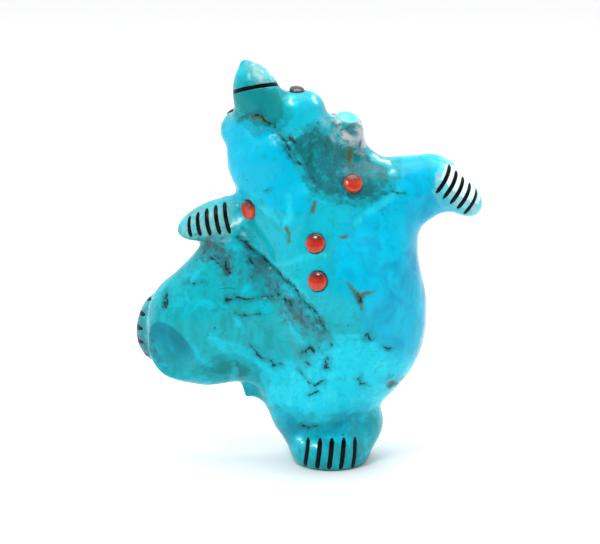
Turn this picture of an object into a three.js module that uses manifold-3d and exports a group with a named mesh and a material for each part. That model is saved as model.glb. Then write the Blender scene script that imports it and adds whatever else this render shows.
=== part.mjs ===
// A small dancing bear carved from one piece of turquoise, standing on one foot with its head thrown back.
// Millimetres, +Z up, the belly towards -Y. The origin is on the ground under the standing foot.
import * as THREE from 'three';
import { mergeVertices } from 'three/addons/utils/BufferGeometryUtils.js';
import Module from 'manifold-3d';

const wasm = await Module();
wasm.setup();

// Driving dimensions in millimetres
const HEIGHT = 50;
const FACET = 1.3;
const DOT_DIAMETER = 2.3;
const DOT_PROUD = 0.65;
const EYE_DIAMETER = 1.8;
const EYE_PROUD = 0.4;
const CROWN_DIAMETER = 2.7;
const CROWN_PROUD = 0.7;
const SEAT_DEPTH = 0.7;
const SEAT_CLEARANCE = 0.08;
const RIM_SHARE = 0.35;
const CLAW_WIDTH = 0.5;
const CLAW_DEPTH = 0.35;
const MOUTH_WIDTH = 0.45;
const MOUTH_DEPTH = 0.35;
const GROOVE_LIFT = 0.6;

// The free form is given in hundredths of the height
const HUNDREDTH = HEIGHT / 100;
const CLAWS_A_PAW = 5;
const ROUND_SEGMENTS = 16;
const DOME_STEPS = 3;
const CLAW_STEPS = 3;
const TINY = 1e-6;

// The view that the form was measured in looks down by this angle
const SLANT = Math.tan(THREE.MathUtils.degToRad(12));
const SIGHT = new THREE.Vector3(0, 1, -SLANT).normalize();

// A point named by how far across and how high it shows from the front, and by its depth behind the middle
function seen(across, level, depth = 0) {
  return new THREE.Vector3(across, depth, level - SLANT * depth);
}

// Signed distances to simple forms, positive outside, with a tilt clockwise as seen from the front
function egg(centre, [rx, ry, rz], tilt = 0) {
  const cos = Math.cos(THREE.MathUtils.degToRad(tilt));
  const sin = Math.sin(THREE.MathUtils.degToRad(tilt));
  return (p) => {
    const dx = p.x - centre.x;
    const dz = p.z - centre.z;
    const u = (cos * dx - sin * dz) / rx;
    const v = (p.y - centre.y) / ry;
    const w = (sin * dx + cos * dz) / rz;
    const reach = Math.hypot(u, v, w);
    return (reach * (reach - 1)) / Math.max(Math.hypot(u / rx, v / ry, w / rz), TINY);
  };
}

function block(centre, [hx, hy, hz], tilt, round) {
  const cos = Math.cos(THREE.MathUtils.degToRad(tilt));
  const sin = Math.sin(THREE.MathUtils.degToRad(tilt));
  return (p) => {
    const dx = p.x - centre.x;
    const dz = p.z - centre.z;
    const u = Math.abs(cos * dx - sin * dz) - hx + round;
    const v = Math.abs(p.y - centre.y) - hy + round;
    const w = Math.abs(sin * dx + cos * dz) - hz + round;
    const outside = Math.hypot(Math.max(u, 0), Math.max(v, 0), Math.max(w, 0));
    return outside + Math.min(Math.max(u, v, w), 0) - round;
  };
}

function limb(from, to, startRadius, endRadius) {
  const line = new THREE.Line3(from, to);
  const nearest = new THREE.Vector3();
  return (p) => {
    const share = line.closestPointToPointParameter(p, true);
    line.at(share, nearest);
    return p.distanceTo(nearest) - THREE.MathUtils.lerp(startRadius, endRadius, share);
  };
}

function blend(a, b, width) {
  const near = Math.max(width - Math.abs(a - b), 0) / width;
  return Math.min(a, b) - (near * near * width) / 4;
}

// Several forms joined one after another, each with the width of its fillet
function joined(first, ...others) {
  return (p) => others.reduce((sum, [form, fillet]) => blend(sum, form(p), fillet), first(p));
}

function carved(form, tool, fillet) {
  return (p) => -blend(-form(p), tool(p), fillet);
}

// The belly's edge: a step along an arc, deepest beside it and fading over the thigh
const EDGE = {
  across: -69.7,
  level: -5.2,
  radius: 76.8,
  lip: [-0.35, 0.45],
  starts: [0.62, 0.74],
  ends: [1.01, 1.16],
  front: [-4, 2],
  depth: 1.7,
  fade: 7,
};

function bellyStep(p) {
  const across = p.x - EDGE.across;
  const level = p.z + SLANT * p.y - EDGE.level;
  const inside = EDGE.radius - Math.hypot(across, level);
  const along = Math.atan2(across, level);
  const starts = THREE.MathUtils.smoothstep(along, ...EDGE.starts);
  const ends = 1 - THREE.MathUtils.smoothstep(along, ...EDGE.ends);
  const front = 1 - THREE.MathUtils.smoothstep(p.y, ...EDGE.front);
  const drop = THREE.MathUtils.smoothstep(inside, ...EDGE.lip);
  const fading = Math.exp(-Math.max(inside, 0) / EDGE.fade);
  return EDGE.depth * drop * fading * starts * ends * front;
}

// The upper body: torso, chest, neck, hump and the right arm
const torso = egg(seen(2.6, 41.4, -1), [19.4, 19.0, 26.8], -14);
const flank = egg(seen(13.9, 54.0), [5.5, 13.0, 11.5]);
const chest = egg(seen(-7.2, 65.3), [15.9, 13.0, 12.0], -8);
const neck = egg(seen(-12.2, 75.8, 0.5), [13.8, 11.0, 10.0], -18);
const crown = block(seen(1.2, 78.0, 3.4), [4.8, 7.0, 7.4], 10, 2.4);
const withers = limb(seen(2.8, 81.4, 3.4), seen(4.8, 75, 3), 3.4, 4.2);
const hump = joined(crown, [withers, 2]);
const rightArm = limb(seen(11.2, 64.7), seen(22.6, 68.6), 10.8, 7.6);
const rightPaw = egg(seen(28.95, 67.3, -0.5), [8.0, 6.4, 4.5], 43);
const leftArm = egg(seen(-28.9, 60.4, -0.5), [9.9, 5.2, 4.5], -22);

// The head, thrown back so that the muzzle points up
const skull = egg(seen(-14.7, 84.9, 1), [10.2, 8.4, 6.1], -14);
const jaws = egg(seen(-17.7, 86.6, -1), [6.2, 6.0, 12.1], -17);
const nose = limb(seen(-21.6, 97.5, -1), seen(-20.6, 94.6, -1), 1.3, 3.3);
const muzzle = joined(jaws, [nose, 1]);
const leftEar = egg(seen(-24.1, 82.8, 3.5), [3.1, 3.6, 3.7]);
const rightEar = egg(seen(-7.2, 87.8, 3.0), [3.2, 3.6, 3.2]);
const cheek = limb(seen(-21.5, 81.4, 1), seen(-17.8, 72, 1), 4.6, 4.6);
const nape = limb(seen(-7.4, 86.2, 0.5), seen(-5.0, 78, 0), 4.6, 5.8);
const head = joined(skull, [muzzle, 2], [leftEar, 1], [rightEar, 1.2]);

// The raised leg with its hollowed sole, the paw behind it and the tail
const side = egg(seen(-22.8, 49.0, 1), [12.5, 8.4, 10.9], -35);
const hip = egg(seen(-15.4, 35.6, 2), [16.5, 12.0, 17.5], -10);
const thigh = egg(seen(-31.5, 34.0, 1.5), [14.7, 10.0, 15.4], 10);
const shin = egg(seen(-38.2, 27.2, 1), [6.8, 7.0, 6.8]);
const hollow = egg(seen(-48.2, 25.6, -9.5), [11.0, 8.2, 17.0], -55);
const pawCentre = seen(-43.2, 33.2, 7.6);
const raisedPaw = egg(pawCentre, [5.9, 6.5, 9.0], 7);
const tail = block(seen(-19.3, 21.8, 4), [4.2, 3.5, 4.6], -17, 0.5);
const raisedThigh = joined(hip, [joined(thigh, [shin, 3]), 5], [side, 6]);
const raisedLeg = joined(carved(raisedThigh, hollow, 0.6), [raisedPaw, 1], [tail, 1]);

// The standing leg and foot
const leg = egg(seen(-3.2, 14.3), [13.0, 11.0, 13.0], -14);
const instep = egg(seen(-0.9, 5.0, -2), [10.5, 11.5, 8.2]);
const pad = egg(seen(-1.1, 1.8, -2), [9.6, 10.8, 5.2]);
const foot = joined(instep, [pad, 1.5]);
const heel = egg(seen(6.6, 9.0, 1), [5.6, 8.0, 5.5], 20);

const upright = joined(torso, [chest, 8], [neck, 4], [head, 1.6], [cheek, 4], [nape, 4], [hump, 2]);
const trunk = joined(upright, [rightArm, 5], [flank, 4], [rightPaw, 2.5]);
const stepped = (p) => blend(trunk(p), raisedLeg(p), 3) + bellyStep(p);
const figure = joined(stepped, [leftArm, 2.5], [leg, 8], [foot, 3], [heel, 3]);

const NUDGE = 0.05;
const AXES = ['x', 'y', 'z'];

function outward(p) {
  const slope = AXES.map((axis) => {
    const ahead = p.clone();
    const behind = p.clone();
    ahead[axis] += NUDGE;
    behind[axis] -= NUDGE;
    return figure(ahead) - figure(behind);
  });
  return new THREE.Vector3(...slope).normalize();
}

// The first point of the surface that a ray from outside meets
const MARCH = { share: 0.8, near: 0.005, farthest: 120 };

function surfacePoint(start, direction) {
  const point = start.clone();
  let distance = figure(point);
  while (distance >= MARCH.near) {
    point.addScaledVector(direction, distance * MARCH.share);
    if (point.distanceTo(start) > MARCH.farthest) throw new Error('a cut line or an inlay lies beside the figure');
    distance = figure(point);
  }
  return point;
}

// The whole surface as a net of facets: one vertex in each cell that the surface crosses
const LOW = new THREE.Vector3(-54, -24, -11.2);
const HIGH = new THREE.Vector3(42, 24, 104);

// Every whole-numbered place of a grid, with its number in the list of values
function* gridPlaces(counts, strides, first, beforeEnd) {
  for (let k = first; k < counts[2] - beforeEnd; k += 1) {
    for (let j = first; j < counts[1] - beforeEnd; j += 1) {
      for (let i = first; i < counts[0] - beforeEnd; i += 1) {
        yield { place: [i, j, k], index: i + j * strides[1] + k * strides[2] };
      }
    }
  }
}

function carvedSurface() {
  const cell = FACET / HUNDREDTH;
  const counts = AXES.map((axis) => Math.ceil((HIGH[axis] - LOW[axis]) / cell) + 1);
  const strides = [1, counts[0], counts[0] * counts[1]];
  const corner = (i, j, k) => new THREE.Vector3(i, j, k).multiplyScalar(cell).add(LOW);
  const values = new Float64Array(counts[0] * counts[1] * counts[2]);
  for (const { place, index } of gridPlaces(counts, strides, 0, 0)) values[index] = figure(corner(...place));
  fillCrevices(values, strides, counts);
  const positions = [];
  const vertexOf = new Map();
  for (const { place, index } of gridPlaces(counts, strides, 0, 1)) {
    const vertex = cellVertex(values, strides, place, corner, cell);
    if (!vertex) continue;
    vertexOf.set(index, positions.length / 3);
    positions.push(...vertex.multiplyScalar(HUNDREDTH));
  }
  const geometry = new THREE.BufferGeometry();
  geometry.setAttribute('position', new THREE.Float32BufferAttribute(positions, 3));
  geometry.setIndex(netFaces(values, strides, counts, vertexOf, positions));
  return geometry;
}

// A crevice narrower than a cell is filled, so that no two sheets of the net share an edge
function fillCrevices(values, strides, counts) {
  const filled = -0.1;
  let found = true;
  while (found) {
    found = false;
    for (const { index } of gridPlaces(counts, strides, 0, 1)) {
      for (let axis = 0; axis < 3; axis += 1) {
        const one = strides[(axis + 1) % 3];
        const two = strides[(axis + 2) % 3];
        const square = [index, index + one, index + one + two, index + two];
        const [a, b, c, d] = square.map((at) => values[at] < 0);
        if (a !== c || b !== d || a === b) continue;
        for (const at of square) values[at] = Math.min(values[at], filled);
        found = true;
      }
    }
  }
}

// The 12 edges of a cell, each as its lower corner and the axis that it runs along
const CELL_EDGES = AXES.flatMap((name, axis) => [0, 1, 2, 3].map((turn) => {
  const start = [0, 0, 0];
  start[(axis + 1) % 3] = turn & 1;
  start[(axis + 2) % 3] = turn >> 1;
  return { start, axis };
}));

// Where the surface crosses a cell's edges, with its normals there, decides the place of the cell's vertex
const SETTLING = { steps: 12, share: 0.6, margin: 0.08 };

function cellVertex(values, strides, place, corner, cell) {
  const planes = [];
  for (const { start, axis } of CELL_EDGES) {
    const from = place.map((index, n) => index + start[n]);
    const index = from.reduce((sum, step, n) => sum + step * strides[n], 0);
    const a = values[index];
    const b = values[index + strides[axis]];
    if (a < 0 === b < 0) continue;
    const point = corner(...from);
    point[AXES[axis]] += (cell * a) / (a - b);
    planes.push({ point, normal: outward(point) });
  }
  if (planes.length === 0) return null;
  const vertex = planes.reduce((sum, plane) => sum.add(plane.point), new THREE.Vector3());
  vertex.divideScalar(planes.length);
  const margin = SETTLING.margin * cell;
  const low = corner(...place).addScalar(margin);
  const high = corner(...place).addScalar(cell - margin);
  for (let step = 0; step < SETTLING.steps; step += 1) {
    for (const { point, normal } of planes) {
      vertex.addScaledVector(normal, SETTLING.share * normal.dot(point.clone().sub(vertex)));
    }
    vertex.clamp(low, high);
  }
  return vertex;
}

// Each grid edge that the surface crosses joins the vertices of the four cells around it
function netFaces(values, strides, counts, vertexOf, positions) {
  const faces = [];
  const vertexAt = (number) => new THREE.Vector3().fromArray(positions, 3 * number);
  for (const { index } of gridPlaces(counts, strides, 1, 1)) {
    for (let axis = 0; axis < 3; axis += 1) {
      const inside = values[index] < 0;
      if (inside === values[index + strides[axis]] < 0) continue;
      const one = strides[(axis + 1) % 3];
      const two = strides[(axis + 2) % 3];
      const ring = [index, index - one, index - one - two, index - two].map((at) => vertexOf.get(at));
      if (!inside) ring.reverse();
      const [a, b, c, d] = ring;
      const shorter = vertexAt(a).distanceTo(vertexAt(c)) < vertexAt(b).distanceTo(vertexAt(d));
      faces.push(...(shorter ? [a, b, c, a, c, d] : [b, c, d, b, d, a]));
    }
  }
  return faces;
}

function toSolid(geometry) {
  const bare = geometry.clone();
  bare.deleteAttribute('normal');
  bare.deleteAttribute('uv');
  const merged = mergeVertices(bare);
  const mesh = new wasm.Mesh({
    numProp: 3,
    vertProperties: new Float32Array(merged.attributes.position.array),
    triVerts: new Uint32Array(merged.index.array),
  });
  return new wasm.Manifold(mesh);
}

function toGeometry(solid) {
  const mesh = solid.getMesh();
  const geometry = new THREE.BufferGeometry();
  geometry.setAttribute('position', new THREE.BufferAttribute(new Float32Array(mesh.vertProperties), 3));
  geometry.setIndex(new THREE.BufferAttribute(new Uint32Array(mesh.triVerts), 1));
  geometry.computeVertexNormals();
  return geometry;
}

// A cutter that follows the surface: the same flat-bottomed section at each point of a path
function grooveCutter(path, width, depth) {
  const places = path.map((on) => ({ point: on.clone().multiplyScalar(HUNDREDTH), up: outward(on) }));
  const positions = [];
  places.forEach(({ point, up }, number) => {
    const before = places[Math.max(number - 1, 0)].point;
    const after = places[Math.min(number + 1, places.length - 1)].point;
    const across = new THREE.Vector3().subVectors(after, before).cross(up).normalize();
    for (const [sideways, height] of [[-1, -depth], [1, -depth], [1, GROOVE_LIFT], [-1, GROOVE_LIFT]]) {
      const corner = point.clone().addScaledVector(across, (sideways * width) / 2);
      positions.push(...corner.addScaledVector(up, height));
    }
  });
  const faces = [];
  for (let ring = 0; ring < places.length - 1; ring += 1) {
    for (let turn = 0; turn < 4; turn += 1) {
      const a = 4 * ring + turn;
      const b = 4 * ring + ((turn + 1) % 4);
      faces.push(a, b + 4, b, a, a + 4, b + 4);
    }
  }
  const last = positions.length / 3 - 4;
  faces.push(0, 1, 2, 0, 2, 3, last, last + 2, last + 1, last, last + 3, last + 2);
  const geometry = new THREE.BufferGeometry();
  geometry.setAttribute('position', new THREE.Float32BufferAttribute(positions, 3));
  geometry.setIndex(faces);
  return toSolid(geometry);
}

// How far out the rays start: ahead of the whole figure, round a single limb, or above an inlay
const AHEAD = 40;
const ROUND_LIMB = 20;
const ABOVE_INLAY = 15;

// A line as seen from the front, laid on the surface, whose middle is bowed sideways
function frontLine(from, to, bow, steps) {
  return Array.from({ length: steps + 1 }, (_, step) => {
    const share = step / steps;
    const point = from.clone().lerp(to, share);
    point.x += 4 * bow * share * (1 - share);
    return surfacePoint(point.addScaledVector(SIGHT, -AHEAD), SIGHT);
  });
}

// The claws of a paw: like lines from a first one to a last one, each [top, bottom] as seen from the front
function clawLines(first, last, bow) {
  return Array.from({ length: CLAWS_A_PAW }, (_, number) => {
    const share = number / (CLAWS_A_PAW - 1);
    const [top, bottom] = first.map((end, index) => end.clone().lerp(last[index], share));
    return frontLine(top, bottom, bow, CLAW_STEPS);
  });
}

const frontClaws = [
  clawLines([seen(-35.2, 60.7), seen(-34.9, 55.8)], [seen(-26.7, 64.2), seen(-25.5, 56.7)], -0.3),
  clawLines([seen(27.4, 73.3), seen(24.1, 66.5)], [seen(33.9, 67.3), seen(31.0, 61.4)], 0.6),
  clawLines([seen(-6.6, 5.5), seen(-7.4, -1.8)], [seen(5.0, 5.7), seen(4.3, -2.2)], 0.1),
].flat();

// The raised paw's claws run level round its outer end, one above another
const RAISED_CLAWS = { pitch: 3.4, middle: 0.4, from: 225, to: 100, steps: 6 };
const raisedClaws = Array.from({ length: CLAWS_A_PAW }, (_, number) => {
  const height = RAISED_CLAWS.middle + RAISED_CLAWS.pitch * (number - (CLAWS_A_PAW - 1) / 2);
  return Array.from({ length: RAISED_CLAWS.steps + 1 }, (__, step) => {
    const turn = THREE.MathUtils.lerp(RAISED_CLAWS.from, RAISED_CLAWS.to, step / RAISED_CLAWS.steps);
    const angle = THREE.MathUtils.degToRad(turn);
    const out = new THREE.Vector3(Math.cos(angle), Math.sin(angle), 0);
    const start = pawCentre.clone().addScaledVector(out, ROUND_LIMB);
    start.z += height;
    return surfacePoint(start, out.negate());
  });
});

// The mouth runs round the muzzle from cheek to cheek, across its underside
const MOUTH = { middle: seen(-19.5, 91.8, -1), rise: 10.5, reach: 112, steps: 12 };
const mouthAcross = new THREE.Vector3(1, 0, Math.tan(THREE.MathUtils.degToRad(MOUTH.rise))).normalize();
const mouthLine = Array.from({ length: MOUTH.steps + 1 }, (_, step) => {
  const turn = THREE.MathUtils.degToRad(THREE.MathUtils.lerp(-MOUTH.reach, MOUTH.reach, step / MOUTH.steps));
  const out = mouthAcross.clone().multiplyScalar(Math.sin(turn)).addScaledVector(SIGHT, -Math.cos(turn));
  return surfacePoint(MOUTH.middle.clone().addScaledVector(out, ROUND_LIMB), out.negate());
});

// Where an inlay sits: a point of the surface and the way that the inlay faces
function inlayFromFront(across, level) {
  const point = surfacePoint(seen(across, level, 0).addScaledVector(SIGHT, -AHEAD), SIGHT);
  return { point, facing: outward(point) };
}

function inlayFacing(aim, facing) {
  const out = new THREE.Vector3(...facing).normalize();
  const start = aim.clone().addScaledVector(out, ABOVE_INLAY);
  return { point: surfacePoint(start, out.clone().negate()), facing: out };
}

const coral = { colour: '#e5512b', roughness: 0.25, diameter: DOT_DIAMETER, proud: DOT_PROUD };
const jet = { colour: '#241a17', roughness: 0.2, diameter: EYE_DIAMETER, proud: EYE_PROUD };
const paleTurquoise = { colour: '#6fe3ea', roughness: 0.3, diameter: CROWN_DIAMETER, proud: CROWN_PROUD };
const inlays = [
  { name: 'coral_dot_left_chest', ...coral, ...inlayFromFront(-20.9, 62.2) },
  { name: 'coral_dot_right_chest', ...coral, ...inlayFromFront(4.0, 68.5) },
  { name: 'coral_dot_upper_belly', ...coral, ...inlayFromFront(-4.9, 53.9) },
  { name: 'coral_dot_lower_belly', ...coral, ...inlayFromFront(-4.4, 44.8) },
  { name: 'jet_eye_right', ...jet, ...inlayFacing(seen(-9.3, 91.6, 0), [0.1, -0.3, 0.95]) },
  { name: 'jet_eye_left', ...jet, ...inlayFacing(seen(-23.9, 85.2, 4.6), [-0.45, 0.3, 0.85]) },
  { name: 'turquoise_crown', ...paleTurquoise, ...inlayFacing(seen(2.9, 85.0, 0), [0.2, -0.35, 0.92]) },
];

const UP = new THREE.Vector3(0, 1, 0);

function placeInlay(object, { point, facing }) {
  object.position.copy(point).multiplyScalar(HUNDREDTH);
  object.quaternion.setFromUnitVectors(UP, facing);
  object.updateMatrix();
  return object;
}

// A cabochon: a straight rim that sits in its seat, under a low dome
function cabochonGeometry({ diameter, proud }) {
  const radius = diameter / 2;
  const rim = proud * RIM_SHARE;
  const profile = [new THREE.Vector2(0, -SEAT_DEPTH), new THREE.Vector2(radius, -SEAT_DEPTH)];
  for (let step = 0; step <= DOME_STEPS; step += 1) {
    const angle = (step / DOME_STEPS) * (Math.PI / 2);
    const out = step === DOME_STEPS ? 0 : radius * Math.cos(angle);
    profile.push(new THREE.Vector2(out, rim + (proud - rim) * Math.sin(angle)));
  }
  return new THREE.LatheGeometry(profile, ROUND_SEGMENTS);
}

// The seat drilled for a cabochon, wider and deeper than it by the clearance
function seatCutter(inlay) {
  const above = 2 * inlay.proud;
  const deep = SEAT_DEPTH + SEAT_CLEARANCE;
  const radius = inlay.diameter / 2 + SEAT_CLEARANCE;
  const geometry = new THREE.CylinderGeometry(radius, radius, above + deep, ROUND_SEGMENTS);
  geometry.translate(0, (above - deep) / 2, 0);
  const holder = placeInlay(new THREE.Object3D(), inlay);
  return toSolid(geometry.applyMatrix4(holder.matrix));
}

function bearSolid() {
  const ground = new THREE.BoxGeometry(2 * HEIGHT, 2 * HEIGHT, HEIGHT).translate(0, 0, -HEIGHT / 2);
  let solid = toSolid(carvedSurface()).subtract(toSolid(ground));
  for (const line of [...frontClaws, ...raisedClaws]) {
    solid = solid.subtract(grooveCutter(line, CLAW_WIDTH, CLAW_DEPTH));
  }
  solid = solid.subtract(grooveCutter(mouthLine, MOUTH_WIDTH, MOUTH_DEPTH));
  for (const inlay of inlays) solid = solid.subtract(seatCutter(inlay));
  return solid;
}

const fetish = new THREE.Group();
const turquoise = new THREE.MeshStandardMaterial({ color: '#2fb0c4', roughness: 0.28, metalness: 0 });
const bear = new THREE.Mesh(toGeometry(bearSolid()), turquoise);
bear.name = 'bear';
fetish.add(bear);

for (const inlay of inlays) {
  const { colour: color, roughness } = inlay;
  const material = new THREE.MeshStandardMaterial({ color, roughness, metalness: 0 });
  const cabochon = placeInlay(new THREE.Mesh(cabochonGeometry(inlay), material), inlay);
  cabochon.name = inlay.name;
  fetish.add(cabochon);
}

export default fetish;
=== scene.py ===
"""A small dancing bear carved from one piece of turquoise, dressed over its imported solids."""

import logging
import math
from collections.abc import Sequence
from dataclasses import dataclass, replace
from enum import Enum

import bpy
import numpy as np
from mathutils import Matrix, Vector


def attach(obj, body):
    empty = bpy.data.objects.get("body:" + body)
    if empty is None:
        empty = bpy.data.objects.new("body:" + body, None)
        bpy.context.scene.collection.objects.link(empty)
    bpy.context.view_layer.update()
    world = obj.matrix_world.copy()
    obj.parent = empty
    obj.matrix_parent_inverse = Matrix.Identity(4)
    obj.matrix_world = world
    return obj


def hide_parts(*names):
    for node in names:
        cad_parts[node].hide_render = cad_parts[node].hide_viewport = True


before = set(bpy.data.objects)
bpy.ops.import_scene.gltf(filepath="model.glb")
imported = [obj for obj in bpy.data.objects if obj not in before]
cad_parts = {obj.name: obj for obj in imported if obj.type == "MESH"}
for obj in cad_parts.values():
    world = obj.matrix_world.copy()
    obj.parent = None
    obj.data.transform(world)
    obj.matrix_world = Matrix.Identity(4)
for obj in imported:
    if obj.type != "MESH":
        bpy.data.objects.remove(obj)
log = logging.getLogger("bear")

Array = np.ndarray
Point = tuple[float, float, float]
Place = tuple[float, float]
Colour = tuple[float, float, float, float]

# The bear's forms are in hundredths of its height
HUNDREDTH = 0.0005
MILLIMETRE = 0.001
TO_HUNDREDTHS = MILLIMETRE / HUNDREDTH
TINY = 1e-6

# How far from an outline or a mark the distances are measured
ZONE_REACH = 12
MARK_REACH = 3.0

# What brings the sum of a ripple's waves to about -1 to 1
RIPPLE_HEIGHT = 1.5

# The view that the bear was measured in looks down by this angle
ELEVATION = math.radians(12)
SLANT = math.tan(ELEVATION)
SIGHT = np.array([0.0, math.cos(ELEVATION), -math.sin(ELEVATION)])


# Sums on distances
def seen(across: float, level: float, depth: float = 0.0) -> Point:
    """A point named by where it shows from the front, and by its depth behind the middle."""
    return (across, depth, level - SLANT * depth)


def smoothstep(value: Array, low: float, high: float) -> Array:
    """A soft step from 0 at low to 1 at high."""
    share = np.clip((value - low) / (high - low), 0, 1)
    return share * share * (3 - 2 * share)


def blend(a: Array, b: Array, width: float) -> Array:
    """The nearer of two distances, with a fillet of that width between them."""
    near = np.maximum(width - np.abs(a - b), 0) / width
    return np.minimum(a, b) - near * near * width / 4


def joined(first: Array, *others: tuple[Array, float]) -> Array:
    """Several distances joined one after another, each with the width of its fillet.

    Args:
        first: the distance to the first form.
        others: the distance to each further form, and its fillet.

    Returns:
        The distance to them all.
    """
    for distance, fillet in others:
        first = blend(first, distance, fillet)
    return first


def carved(form: Array, tool: Array, fillet: float) -> Array:
    """What is left of a form after a tool has cut it."""
    return -blend(-form, tool, fillet)


def tilted(points: Array, centre: Point, tilt: float) -> tuple[Array, Array, Array]:
    """Offsets from a centre in axes that are tilted clockwise as seen from the front.

    Args:
        points: rows of coordinates.
        centre: where the axes meet.
        tilt: the angle in degrees.

    Returns:
        The offsets across, ahead and up.
    """
    cos, sin = math.cos(math.radians(tilt)), math.sin(math.radians(tilt))
    dx, dy, dz = (points - np.array(centre)).T
    return cos * dx - sin * dz, dy, sin * dx + cos * dz


@dataclass(frozen=True)
class Egg:
    """A form with three radii."""

    centre: Point
    radii: Point
    tilt: float = 0.0

    def __call__(self, points: Array) -> Array:
        """Signed distances, positive outside.

        Args:
            points: rows of coordinates in hundredths.

        Returns:
            A distance for each point, positive outside.
        """
        offsets = tilted(points, self.centre, self.tilt)
        scaled = [offset / radius for offset, radius in zip(offsets, self.radii)]
        steep = [offset / radius for offset, radius in zip(scaled, self.radii)]
        reach = np.sqrt(sum(value * value for value in scaled))
        return reach * (reach - 1) / np.maximum(np.sqrt(sum(value * value for value in steep)), TINY)


@dataclass(frozen=True)
class Block:
    """A box with rounded edges."""

    centre: Point
    half: Point
    tilt: float
    rounding: float

    def __call__(self, points: Array) -> Array:
        """Signed distances, positive outside.

        Args:
            points: rows of coordinates in hundredths.

        Returns:
            A distance for each point, positive outside.
        """
        offsets = tilted(points, self.centre, self.tilt)
        u, v, w = (np.abs(offset) - half + self.rounding for offset, half in zip(offsets, self.half))
        outside = np.sqrt(np.maximum(u, 0) ** 2 + np.maximum(v, 0) ** 2 + np.maximum(w, 0) ** 2)
        return outside + np.minimum(np.maximum(np.maximum(u, v), w), 0) - self.rounding


@dataclass(frozen=True)
class Limb:
    """A round limb that tapers from one end to the other."""

    start: Point
    end: Point
    start_radius: float
    end_radius: float

    def __call__(self, points: Array) -> Array:
        """Signed distances, positive outside.

        Args:
            points: rows of coordinates in hundredths.

        Returns:
            A distance for each point, positive outside.
        """
        start = np.array(self.start)
        line = np.array(self.end) - start
        share = np.clip((points - start) @ line / (line @ line), 0, 1)
        radius = self.start_radius + (self.end_radius - self.start_radius) * share
        return np.linalg.norm(points - start - share[:, None] * line, axis=1) - radius


@dataclass(frozen=True)
class BellyEdge:
    """The belly's edge: a step along an arc, deepest beside it and fading over the thigh."""

    across: float = -69.7
    level: float = -5.2
    radius: float = 76.8
    lip: Place = (-0.35, 0.45)
    starts: Place = (0.62, 0.74)
    ends: Place = (1.01, 1.16)
    front: Place = (-4, 2)
    depth: float = 1.7
    fade: float = 7

    def __call__(self, points: Array) -> Array:
        """How far the surface drops.

        Args:
            points: rows of coordinates in hundredths.

        Returns:
            The drop at each point, in hundredths.
        """
        across = points[:, 0] - self.across
        level = points[:, 2] + SLANT * points[:, 1] - self.level
        inside = self.radius - np.hypot(across, level)
        along = np.arctan2(across, level)
        drop = smoothstep(inside, *self.lip) * np.exp(-np.maximum(inside, 0) / self.fade)
        reach = smoothstep(along, *self.starts) * (1 - smoothstep(along, *self.ends))
        return self.depth * drop * reach * (1 - smoothstep(points[:, 1], *self.front))


@dataclass(frozen=True)
class Fillets:
    """How wide the fillet is where each form meets those before it."""

    shin: float = 3
    thigh: float = 5
    side: float = 6
    hollow: float = 0.6
    raised_paw: float = 1
    tail: float = 1
    nose: float = 1
    muzzle: float = 2
    left_ear: float = 1
    right_ear: float = 1.2
    withers: float = 2
    chest: float = 8
    neck: float = 4
    head: float = 1.6
    cheek: float = 4
    nape: float = 4
    hump: float = 2
    right_arm: float = 5
    flank: float = 4
    right_paw: float = 2.5
    raised_leg: float = 3
    pad: float = 1.5
    left_arm: float = 2.5
    leg: float = 8
    foot: float = 3
    heel: float = 3
    sole: float = 0.7


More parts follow.
